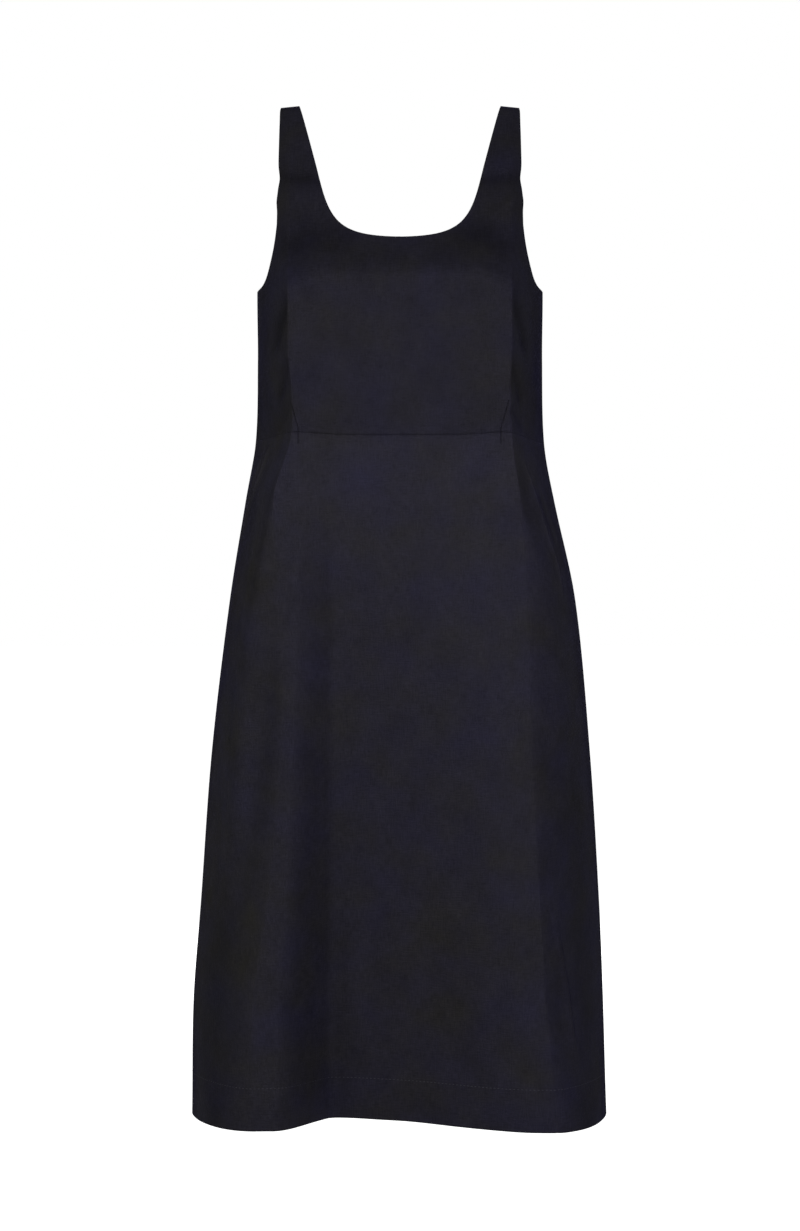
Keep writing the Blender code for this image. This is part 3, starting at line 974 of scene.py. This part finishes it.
@dataclass(frozen=True)
class SateenSuiting:
    """Sateen suiting of fine cotton and wool, piece-dyed: near black with a navy cast and a broad dull sheen.

    The real threads lie about 0.35 mm apart, too fine to show from where the dress is seen, so they are
    drawn 1.1 mm apart, under soft slubs of a few millimetres. The seams that are drawn, such as those of the
    darts, are pressed in as a fine groove. Stray fibres give the eye a faint light along the edges.
    """

    name: str = "sateen_suiting"
    shade: float = 1.0  # how light the cloth's colour is drawn, as a share
    navy: str = "#252433"
    charcoal: str = "#272625"
    gloss_tint: str = "#DDD8FF"
    thread_pitch: float = 0.0011
    thread_relief: float = 0.00012
    slub_length: float = 0.009
    slub_relief: float = 0.0003
    warp_stretch: tuple[float, float, float] = (1.0, 0.12, 1.0)  # draws the slubs out along the warp
    weft_stretch: tuple[float, float, float] = (0.16, 1.0, 1.0)
    fleck: float = 0.22
    uneven_size: float = 0.035
    uneven_stretch: tuple[float, float, float] = (1.0, 0.7, 1.0)
    uneven_relief: float = 0.0007
    uneven_shade: float = 0.16
    patch_size: float = 0.06
    roughness: float = 0.38
    roughness_spread: float = 0.04
    specular: float = 0.09
    gloss_fade: tuple[float, float] = (0.2, 0.76)  # from where to where the gloss dies away, 1 being edge on
    sheen: float = 0.04
    sheen_roughness: float = 0.3
    sheen_tint: str = "#C8C4FF"
    seams: tuple[SeamLine, ...] = ()
    seam_relief: float = 0.0005
    seam_shadow: float = 0.48

    def build(self) -> bpy.types.Material:
        """Make the material, which reads the cloth's own UV map in metres."""
        material, shader = new_material(self.name)
        tree = material.node_tree
        cloth = add_node(tree, "ShaderNodeUVMap", uv_map="Cloth").outputs["UV"]
        slub = self.slubs(tree, cloth)
        uneven = self.unevenness(tree, cloth)
        groove = self.groove(tree, cloth)
        tree.links.new(self.colour(tree, slub, uneven, groove), shader.inputs["Base Color"])
        rough_range = (self.roughness - self.roughness_spread, self.roughness + self.roughness_spread)
        tree.links.new(ranged(tree, slub, SLUB_RANGE, rough_range), shader.inputs["Roughness"])
        normal = None
        reliefs = (
            (groove, -self.seam_relief),
            (uneven, self.uneven_relief),
            (slub, self.slub_relief),
            (self.weave(tree, cloth), self.thread_relief),
        )
        for height, relief in reliefs:
            bump = {"Height": height, "Distance": relief, "Strength": 1.0}
            if normal:
                bump["Normal"] = normal
            normal = add_node(tree, "ShaderNodeBump", bump).outputs["Normal"]
        tree.links.new(normal, shader.inputs["Normal"])
        tree.links.new(self.gloss(tree), shader.inputs["Specular IOR Level"])
        shader.inputs["Specular Tint"].default_value = linear(self.gloss_tint)
        shader.inputs["Sheen Weight"].default_value = self.sheen
        shader.inputs["Sheen Roughness"].default_value = self.sheen_roughness
        shader.inputs["Sheen Tint"].default_value = linear(self.sheen_tint)
        return material

    def weave(self, tree: bpy.types.NodeTree, cloth: bpy.types.NodeSocket) -> bpy.types.NodeSocket:
        """Warp and weft threads that cross. They give the eye the faint even grain of woven cloth."""
        wave = {
            "Vector": cloth,
            "Scale": WAVE_LENGTH / self.thread_pitch,
            "Distortion": 0.6,
            "Detail": 1.0,
            "Detail Scale": 0.4,
        }
        warp, weft = (
            add_node(tree, "ShaderNodeTexWave", wave, bands_direction=way, wave_profile="SIN").outputs["Fac"]
            for way in ("X", "Y")
        )
        return calculate(tree, "MULTIPLY", warp, weft)

    def slubs(self, tree: bpy.types.NodeTree, cloth: bpy.types.NodeSocket) -> bpy.types.NodeSocket:
        """Thicker stretches of yarn along warp and weft. They give the eye a fine dry unevenness."""
        noise = {"Scale": 6 / self.slub_length, "Detail": 2.0, "Roughness": 0.6}
        drawn = []
        for stretch in (self.warp_stretch, self.weft_stretch):
            mapping = {"Vector": cloth, "Scale": stretch}
            vector = add_node(tree, "ShaderNodeMapping", mapping).outputs["Vector"]
            drawn.append(add_node(tree, "ShaderNodeTexNoise", {"Vector": vector, **noise}).outputs["Fac"])
        return calculate(tree, "ADD", *drawn)

    def unevenness(self, tree: bpy.types.NodeTree, cloth: bpy.types.NodeSocket) -> bpy.types.NodeSocket:
        """Slacker and tighter places of every size. They give the eye the faint mottling of pressed cloth."""
        mapping = {"Vector": cloth, "Scale": self.uneven_stretch}
        vector = add_node(tree, "ShaderNodeMapping", mapping).outputs["Vector"]
        noise = {"Vector": vector, "Scale": 1 / self.uneven_size, "Detail": 4.0, "Roughness": 0.75}
        return add_node(tree, "ShaderNodeTexNoise", noise).outputs["Fac"]

    def groove(self, tree: bpy.types.NodeTree, cloth: bpy.types.NodeSocket) -> bpy.types.NodeSocket:
        """How deep the drawn seams are pressed in, 0 to 1. They give the eye the thin dark line of a dart."""
        deepest = add_node(tree, "ShaderNodeValue").outputs[0]
        deepest.default_value = 0.0
        for seam in self.seams:
            deepest = calculate(tree, "MAXIMUM", deepest, seam.depth(tree, cloth))
        return deepest

    def gloss(self, tree: bpy.types.NodeTree) -> bpy.types.NodeSocket:
        """How much the threads reflect. Seen edge on they shade each other, so the gloss fades to the eye."""
        facing = add_node(tree, "ShaderNodeLayerWeight", {"Blend": 0.5}).outputs["Facing"]
        return ranged(tree, facing, self.gloss_fade, (self.specular, 0.0), "SMOOTHSTEP")

    def colour(
        self,
        tree: bpy.types.NodeTree,
        slub: bpy.types.NodeSocket,
        uneven: bpy.types.NodeSocket,
        groove: bpy.types.NodeSocket,
    ) -> bpy.types.NodeSocket:
        """The dye, which gives the eye a cast between navy and charcoal, with the creases' painted highlight
        and shade.

        Args:
            tree: The material's tree.
            slub: Where the yarn is thicker, which flecks the dye.
            uneven: Where the cloth is slacker, which mottles it.
            groove: The depth of the seams, which darken it.

        Returns:
            The socket that gives the colour.
        """
        place = add_node(tree, "ShaderNodeTexCoord").outputs["Object"]
        noise = {"Vector": place, "Scale": 1 / self.patch_size, "Detail": 3.0}
        patches = add_node(tree, "ShaderNodeTexNoise", noise).outputs["Fac"]
        cast_share = ranged(tree, patches, PATCH_RANGE, (0.0, 1.0))
        dyes = {0: cast_share, 6: linear(self.navy), 7: linear(self.charcoal)}
        dye = add_node(tree, "ShaderNodeMix", dyes, data_type="RGBA").outputs[2]
        # painted highlight and shade from the creases scale the dye
        tone = add_node(tree, "ShaderNodeAttribute", attribute_name="PaintedShading").outputs["Fac"]
        share = calculate(tree, "ADD", tone, 1.0)
        for value, from_range, to_range in (
            (slub, SLUB_RANGE, (1 - self.fleck, 1 + self.fleck)),
            (uneven, UNEVEN_RANGE, (1 - self.uneven_shade, 1 + self.uneven_shade)),
            (groove, (0.0, 1.0), (self.shade, self.shade * (1 - self.seam_shadow))),
        ):
            share = calculate(tree, "MULTIPLY", share, ranged(tree, value, from_range, to_range))
        scaled = {0: dye, "Scale": share}
        return add_node(tree, "ShaderNodeVectorMath", scaled, operation="SCALE").outputs["Vector"]


@dataclass(frozen=True)
class SewingThread:
    """Spun polyester thread, dyed a shade lighter than the cloth, with a dull gloss."""

    name: str = "sewing_thread"
    colour: str = "#2E2D38"
    roughness: float = 0.5
    twist_scale: float = 1800.0
    twist_relief: float = 0.0001

    def build(self) -> bpy.types.Material:
        """Make the material, with a fine twist along the thread."""
        material, shader = new_material(self.name)
        tree = material.node_tree
        place = add_node(tree, "ShaderNodeTexCoord").outputs["Object"]
        noise = {"Vector": place, "Scale": self.twist_scale, "Detail": 1.0}
        twist = add_node(tree, "ShaderNodeTexNoise", noise).outputs["Fac"]
        relief = {"Height": twist, "Distance": self.twist_relief}
        bump = add_node(tree, "ShaderNodeBump", relief).outputs["Normal"]
        tree.links.new(bump, shader.inputs["Normal"])
        shader.inputs["Base Color"].default_value = linear(self.colour)
        shader.inputs["Roughness"].default_value = self.roughness
        return material


# The two front darts, which end just below the waist seam, in the cloth's map: across and height
DARTS = (
    SeamLine((-0.1246, -0.3577), (-0.1156, -0.3904)),
    SeamLine((0.1235, -0.3577), (0.1145, -0.3904)),
    SeamLine((-0.1156, -0.3904), (-0.1156, -0.4063), 0.0016),
    SeamLine((0.1145, -0.3904), (0.1145, -0.4063), 0.0016),
)
BODICE_SHADE = 0.85  # the bodice's cloth is drawn at this share of the skirt's lightness


def single_cloth(heights: np.ndarray) -> np.ndarray:
    """The thickness of one layer of cloth."""
    return np.full_like(heights, WALL)


@dataclass
class Bodice:
    """The front and the back bodice, each cut in one with its two straps."""

    form: BodyForm
    neck_turn: tuple[float, float] = (0.0920, -0.102)
    neck_turn_handle: tuple[float, float] = (0.0795, -0.156)
    neck_floor_handle: tuple[float, float] = (0.0600, -0.1672)
    neck_floor: float = -0.168
    neck_steps: int = 200  # places on the neck's curve, before they are spaced evenly
    strap_inner: float = 0.1186
    strap_slope: float = 0.10
    armhole_cut: float = 0.314
    armhole_rise: float = 0.070
    armhole_turn: float = 0.16
    yoke: float = -0.185  # height where the rows stop following the armhole
    body_rows: int = 78
    yoke_rows: int = 5
    strap_rows: int = 70
    half_columns: int = 56
    side_columns: int = 32

    def armhole_station(self, z: np.ndarray) -> np.ndarray:
        """How many stations from the centre the armhole's edge is, or the side seam below it."""
        rise = np.clip((z - ARMHOLE_Z) / self.armhole_rise, 0.0, 1.0)
        return 1 - self.armhole_cut * rise**self.armhole_turn

    def armhole_height(self, station: np.ndarray) -> np.ndarray:
        """The height of the armhole's edge at stations near the side seam, and the yoke's elsewhere."""
        share = np.clip((1 - np.abs(station)) / self.armhole_cut, 0.0, 1.0)
        return np.minimum(ARMHOLE_Z + self.armhole_rise * share ** (1 / self.armhole_turn), self.yoke)

    def neck_edge(self) -> np.ndarray:
        """Evenly spaced points (x, z) of the neckline, from the centre to the top of the strap."""
        floor = (0.0, self.neck_floor)
        corners = np.array([floor, self.neck_floor_handle, self.neck_turn_handle, self.neck_turn])
        t = np.linspace(0, 1, self.neck_steps)[:, None]
        shares = ((1 - t) ** 3, 3 * t * (1 - t) ** 2, 3 * t**2 * (1 - t), t**3)
        curve = sum(share * corner for share, corner in zip(shares, corners))
        line = np.vstack([curve, [(self.strap_inner, 0.0)]])
        run = np.concatenate([[0], np.cumsum(np.linalg.norm(np.diff(line, axis=0), axis=1))])
        even = np.linspace(0, run[-1], self.strap_rows + 1)
        return np.stack([np.interp(even, run, line[:, k]) for k in (0, 1)], axis=1)

    def settle(self, face: Face) -> Settle:
        """What lays the shoulders' slope and squares the edges to their seams, for one face."""
        seam_y = face.sign * SEAM_GAP / 2

        def lay(outer: np.ndarray, inner: np.ndarray, distance: np.ndarray, z: np.ndarray) -> None:
            """Slope the straps to the shoulders, and bring the edges to the seams."""
            above = np.clip(z / self.neck_floor - 1, -1.0, 0.0)
            fall = self.strap_slope * above * (np.abs(outer[:, 0]) - self.strap_inner)
            fall *= z > self.neck_floor
            on_seam = at_side_seam(distance) | (z >= 0)
            for points in (outer, inner):
                points[:, 2] += fall
                points[on_seam, 1] = seam_y
            foot = z <= WAIST_Z + SEAM_GAP
            inner[foot, 2] = outer[foot, 2]

        return lay

    def panel(self, face: Face, name: str, material: bpy.types.Material) -> bpy.types.Object:
        """One bodice panel with its two straps."""
        wall = ClothWall(self.form, face)
        reach = float(self.armhole_station(np.array(self.yoke)))
        side = np.linspace(1, reach, self.side_columns + 1)[:-1]
        middle = np.linspace(-reach, reach, 2 * self.half_columns + 1)
        columns = np.concatenate([-side, middle, side[::-1]])
        top = self.armhole_height(columns)
        foot = WAIST_Z + SEAM_GAP / 2
        below = None
        for share in np.linspace(0, 1, self.body_rows + 1):
            keys = wall.add_row(columns, foot + (top - foot) * share)
            if below is not None:
                wall.join(below, keys)
            below = keys
        below = below[self.side_columns : -self.side_columns]
        for z in np.linspace(self.yoke, self.neck_floor, self.yoke_rows + 1)[1:]:
            edge = float(self.armhole_station(np.array(z)))
            keys = wall.add_row(np.linspace(-edge, edge, len(middle)), z)
            wall.join(below, keys)
            below = keys
        self.straps(wall, face, below)
        return wall.piece(name, material, single_cloth, self.settle(face))

    def straps(self, wall: ClothWall, face: Face, below: np.ndarray) -> None:
        """The two sides of the neckline with the straps, on the row at the neck's floor."""
        neck = self.neck_edge()[1:]
        neck_stations = self.form.station_at(face, neck[:, 0], neck[:, 1])
        arm_heights = np.linspace(self.neck_floor, 0, self.strap_rows + 1)[1:]
        arm_stations = self.armhole_station(arm_heights)
        share = np.linspace(0, 1, self.half_columns + 1)
        for turned in (False, True):
            under = below[: self.half_columns + 1] if turned else below[self.half_columns :]
            rows = zip(neck_stations, neck[:, 1], arm_stations, arm_heights)
            for neck_w, neck_z, arm_w, arm_z in rows:
                stations = neck_w + (arm_w - neck_w) * share
                heights = neck_z + (arm_z - neck_z) * share
                if turned:
                    stations, heights = -stations[::-1], heights[::-1]
                keys = wall.add_row(stations, heights)
                wall.join(under, keys)
                under = keys


@dataclass
class Skirt:
    """The front and the back skirt, with the turned-up hem."""

    form: BodyForm
    columns: int = 300
    rows: int = 150
    hem_ramp: float = 0.0016
    hem_row: float = 0.0012  # height of a row above the hem
    turn_rows: tuple[float, ...] = (-0.0016, -0.0004, 0.0008, 0.0020)  # heights of rows about the turn
    waist_row: float = 0.0014  # depth of a row below the waist seam
    row_room: float = 0.0009  # the even rows keep this far from those

    def thickness(self, z: np.ndarray) -> np.ndarray:
        """Two layers below the hem's stitching, and one above it."""
        turn = HEM_Z + HEM_DEPTH
        return HEM_WALL + (WALL - HEM_WALL) * smoothstep(turn, turn + self.hem_ramp, z)

    def heights(self) -> np.ndarray:
        """The rows from the hem to the waist, closer together at the hem, its stitching and the waist."""
        top = WAIST_Z - SEAM_GAP / 2
        even = np.linspace(HEM_Z, top, self.rows + 1)
        turn = HEM_Z + HEM_DEPTH
        close = [HEM_Z + self.hem_row, *(turn + up for up in self.turn_rows), top - self.waist_row]
        kept = [z for z in even if min(abs(z - c) for c in close) > self.row_room]
        return np.array(sorted(kept + close))

    def settle(self, face: Face) -> Settle:
        """What squares the edges to their seams and to the hem, for one face."""
        seam_y = face.sign * SEAM_GAP / 2

        def lay(outer: np.ndarray, inner: np.ndarray, distance: np.ndarray, z: np.ndarray) -> None:
            """Bring the edges to the side seams, and level the hem and the waist."""
            for points in (outer, inner):
                points[at_side_seam(distance), 1] = seam_y
            level = (z <= HEM_Z) | (z >= WAIST_Z - SEAM_GAP)
            inner[level, 2] = outer[level, 2]

        return lay

    def panel(self, face: Face, name: str, material: bpy.types.Material) -> bpy.types.Object:
        """One skirt panel, from side seam to side seam."""
        wall = ClothWall(self.form, face)
        stations = np.linspace(-1, 1, self.columns + 1)
        below = None
        for z in self.heights():
            keys = wall.add_row(stations, z)
            if below is not None:
                wall.join(below, keys)
            below = keys
        return wall.piece(name, material, self.thickness, self.settle(face))


@dataclass
class HemStitching:
    """The row of small stitches that holds the turned-up hem, sewn by a geometry tree."""

    form: BodyForm
    thread: bpy.types.Material
    z: float = HEM_Z + HEM_DEPTH - 0.002
    pitch: float = 0.0046
    length: float = 0.0030
    radius: float = 0.00030
    sink: float = 0.3  # how far a stitch's middle lies below the cloth's surface, as a share of its radius
    margin: float = 0.004  # distance in stations from the row's ends to the side seams
    steps: int = 500
    sides: int = 6
    rings: int = 5

    def line(self, face: Face, name: str) -> bpy.types.Object:
        """A chain of edges along the row, on the outside of the cloth."""
        distance = np.linspace(self.margin - 1, 1 - self.margin, self.steps + 1)
        points, normals, _ = self.form.cloth(face, distance, np.full(self.steps + 1, self.z))
        points = points - normals * self.radius * self.sink
        mesh = bpy.data.meshes.new(name)
        mesh.from_pydata(points.tolist(), [(k, k + 1) for k in range(self.steps)], [])
        return add_object(name, mesh)

    def tree(self) -> bpy.types.NodeTree:
        """The geometry tree that lays a stitch at every pitch of a chain of edges."""
        tree = bpy.data.node_groups.new("hem_stitches", "GeometryNodeTree")
        tree.interface.new_socket("Geometry", in_out="INPUT", socket_type="NodeSocketGeometry")
        for name in ("Pitch", "Length", "Radius"):
            tree.interface.new_socket(name, in_out="INPUT", socket_type="NodeSocketFloat")
        tree.interface.new_socket("Thread", in_out="INPUT", socket_type="NodeSocketMaterial")
        tree.interface.new_socket("Geometry", in_out="OUTPUT", socket_type="NodeSocketGeometry")
        given = add_node(tree, "NodeGroupInput").outputs
        chain = add_node(tree, "GeometryNodeMeshToCurve", {"Mesh": given["Geometry"]}).outputs["Curve"]
        spacing = {"Curve": chain, "Length": given["Pitch"]}
        even = add_node(tree, "GeometryNodeResampleCurve", spacing, mode="LENGTH").outputs["Curve"]
        ball = {"Segments": self.sides, "Rings": self.rings, "Radius": given["Radius"]}
        bead = add_node(tree, "GeometryNodeMeshUVSphere", ball).outputs["Mesh"]
        half = calculate(tree, "MULTIPLY", given["Length"], 0.5)
        drawn = calculate(tree, "DIVIDE", half, given["Radius"])
        scale = add_node(tree, "ShaderNodeCombineXYZ", {"X": 1.0, "Y": 1.0, "Z": drawn}).outputs["Vector"]
        tangent = add_node(tree, "GeometryNodeInputTangent").outputs["Tangent"]
        turned = add_node(tree, "FunctionNodeAlignRotationToVector", {"Vector": tangent}, axis="Z")
        copies = {"Points": even, "Instance": bead, "Rotation": turned.outputs["Rotation"], "Scale": scale}
        sewn = add_node(tree, "GeometryNodeInstanceOnPoints", copies).outputs["Instances"]
        solid = add_node(tree, "GeometryNodeRealizeInstances", {"Geometry": sewn}).outputs["Geometry"]
        smooth = add_node(tree, "GeometryNodeSetShadeSmooth", {"Geometry": solid}).outputs["Geometry"]
        dress = {"Geometry": smooth, "Material": given["Thread"]}
        dressed = add_node(tree, "GeometryNodeSetMaterial", dress).outputs["Geometry"]
        add_node(tree, "NodeGroupOutput", {"Geometry": dressed})
        return tree

    def row(self, face: Face, name: str) -> bpy.types.Object:
        """The stitches of one face, as a plain mesh."""
        row = self.line(face, name)
        sewing = row.modifiers.new("sewing", "NODES")
        sewing.node_group = self.tree()
        values = {"Pitch": self.pitch, "Length": self.length, "Radius": self.radius, "Thread": self.thread}
        for item in sewing.node_group.interface.items_tree:
            if item.in_out == "INPUT" and item.name in values:
                sewing[item.identifier] = values[item.name]
        sewn = row.evaluated_get(bpy.context.evaluated_depsgraph_get())
        stitches = bpy.data.meshes.new_from_object(sewn)
        row.modifiers.remove(sewing)
        row.data = stitches
        return row


CENTRE = (0.0, 0.0, -0.60)  # what the lights look at


@dataclass(frozen=True)
class Softbox:
    """A rectangular soft light that looks at a point of the dress."""

    name: str
    place: tuple[float, float, float]
    size: tuple[float, float]
    watts: float
    colour: str = "#FFFFFF"
    target: tuple[float, float, float] = CENTRE

    def build(self) -> bpy.types.Object:
        """Hang the light. The camera doesn't see it."""
        lamp = bpy.data.lights.new(self.name, "AREA")
        lamp.shape = "RECTANGLE"
        lamp.size, lamp.size_y = self.size
        lamp.energy = self.watts
        lamp.color = linear(self.colour)[:3]
        light = add_object(self.name, lamp)
        light.location = self.place
        light.rotation_euler = (Vector(self.target) - Vector(self.place)).to_track_quat("-Z", "Y").to_euler()
        light.visible_camera = False
        return light


@dataclass
class Studio:
    """Camera, soft light and a plain pale floor."""

    picture: tuple[int, int] = (800, 1231)
    metres_per_pixel: float = 0.00118  # in the plane of the side seams
    distance: float = 2.8
    eye_z: float = -0.582
    horizon: float = 600.0  # pixel row that lies level with the camera
    sensor: float = 36.0
    floor_z: float = -1.42
    floor_half: float = 40.0
    floor_colour: str = "#F4F4F4"
    world_light: float = 0.18
    softboxes: tuple[Softbox, ...] = (
        Softbox("front_middle", (0.0, -3.3, -0.3), (0.5, 0.6), 32.6),
        Softbox("side_left", (-2.5, -2.0, 0.0), (0.8, 1.4), 25.8, "#FFFDE8"),
        Softbox("side_right", (2.4, -2.15, 0.0), (0.8, 1.4), 24.0, "#E9E4FF"),
        Softbox("back_left", (-0.7, 3.3, -0.3), (0.9, 1.5), 17.0),
        Softbox("back_right", (0.7, 3.3, -0.3), (0.9, 1.5), 17.0),
    )

    def camera(self) -> bpy.types.Object:
        """The camera at the picture's viewing angle."""
        width, height = self.picture
        data = bpy.data.cameras.new("camera")
        data.sensor_width = self.sensor
        data.lens = self.sensor * self.distance / (self.metres_per_pixel * max(width, height))
        camera = add_object("camera", data)
        camera.location = (0.0, -self.distance, self.eye_z)
        down = math.atan((height / 2 - self.horizon) * self.metres_per_pixel / self.distance)
        camera.rotation_euler = (math.pi / 2 - down, 0.0, 0.0)
        bpy.context.scene.camera = camera
        return camera

    def floor(self) -> bpy.types.Object:
        """A wide pale floor, lit evenly, that only the camera sees."""
        half = self.floor_half
        mesh = bpy.data.meshes.new("floor")
        corners = [(x * half, y * half, self.floor_z) for x, y in ((-1, -1), (1, -1), (1, 1), (-1, 1))]
        mesh.from_pydata(corners, [], [(0, 1, 2, 3)])
        material, shader = new_material("pale_floor")
        shader.inputs["Base Color"].default_value = linear(self.floor_colour)
        shader.inputs["Roughness"].default_value = 0.9
        shader.inputs["Specular IOR Level"].default_value = 0.0
        shader.inputs["Emission Color"].default_value = linear(self.floor_colour)
        shader.inputs["Emission Strength"].default_value = 1.0
        mesh.materials.append(material)
        floor = add_object("floor", mesh)
        floor.visible_diffuse = False
        floor.visible_glossy = False
        return floor

    def world(self) -> None:
        """A white surround for the camera, and a dim one for the cloth."""
        world = bpy.data.worlds.new("studio")
        world.use_nodes = True
        tree = world.node_tree
        background = tree.nodes["Background"]
        seen = add_node(tree, "ShaderNodeLightPath").outputs["Is Camera Ray"]
        strength = ranged(tree, seen, (0.0, 1.0), (self.world_light, 1.0))
        background.inputs["Color"].default_value = (1.0, 1.0, 1.0, 1.0)
        tree.links.new(strength, background.inputs["Strength"])
        bpy.context.scene.world = world

    def build(self) -> None:
        """Set up the studio."""
        self.camera()
        self.floor()
        self.world()
        for softbox in self.softboxes:
            softbox.build()
        bpy.context.scene.view_settings.view_transform = "Standard"


@dataclass(frozen=True)
class Panel:
    """A panel of cloth: its piece, the node that it stands for, its cloth, and what it is cut from.

    flat is the width and length of the rectangle, and area is the area of the cut.
    """

    face: Face
    name: str
    node: str
    cloth: SateenSuiting
    flat: tuple[float, float]
    area: float


BODICE_PANELS = (
    Panel(
        Face.FRONT, "front_bodice", "bodice_front",
        SateenSuiting("bodice_suiting_darts", BODICE_SHADE, seams=DARTS), (0.51, 0.42), 0.127,
    ),
    Panel(
        Face.BACK, "back_bodice", "bodice_back",
        SateenSuiting("bodice_suiting", BODICE_SHADE), (0.47, 0.42), 0.115,
    ),
)
SKIRT_PANELS = (
    Panel(
        Face.FRONT, "front_skirt", "skirt_front",
        SateenSuiting("skirt_suiting_darts", seams=DARTS), (0.68, 0.84), 0.50,
    ),
    Panel(
        Face.BACK, "back_skirt", "skirt_back",
        SateenSuiting("skirt_suiting"), (0.64, 0.84), 0.48,
    ),
)


def declare(piece: bpy.types.Object, panel: Panel, stitches: Sequence[bpy.types.Object] = ()) -> None:
    """Hide the model's node that a panel stands for, and hang the panel and its stitches on the body.

    Args:
        piece: The panel's object.
        panel: What it is.
        stitches: The separate pieces on it.
    """
    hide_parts(panel.node)
    for each in (piece, *stitches):
        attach(each, BODY)
        log.info("%s: %d faces", each.name, len(each.data.polygons))


def main() -> None:
    """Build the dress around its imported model, and the studio."""
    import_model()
    Studio().build()

    form = BodyForm()
    bodice, skirt = Bodice(form), Skirt(form)
    stitching = HemStitching(form, SewingThread().build())
    for panel in BODICE_PANELS:
        declare(bodice.panel(panel.face, panel.name, panel.cloth.build()), panel)
    for panel in SKIRT_PANELS:
        stitches = stitching.row(panel.face, panel.name.replace("skirt", "hem_stitches"))
        declare(skirt.panel(panel.face, panel.name, panel.cloth.build()), panel, [stitches])


if __name__ == "__main__":
    logging.basicConfig(level=logging.INFO, format="%(message)s")
    main()
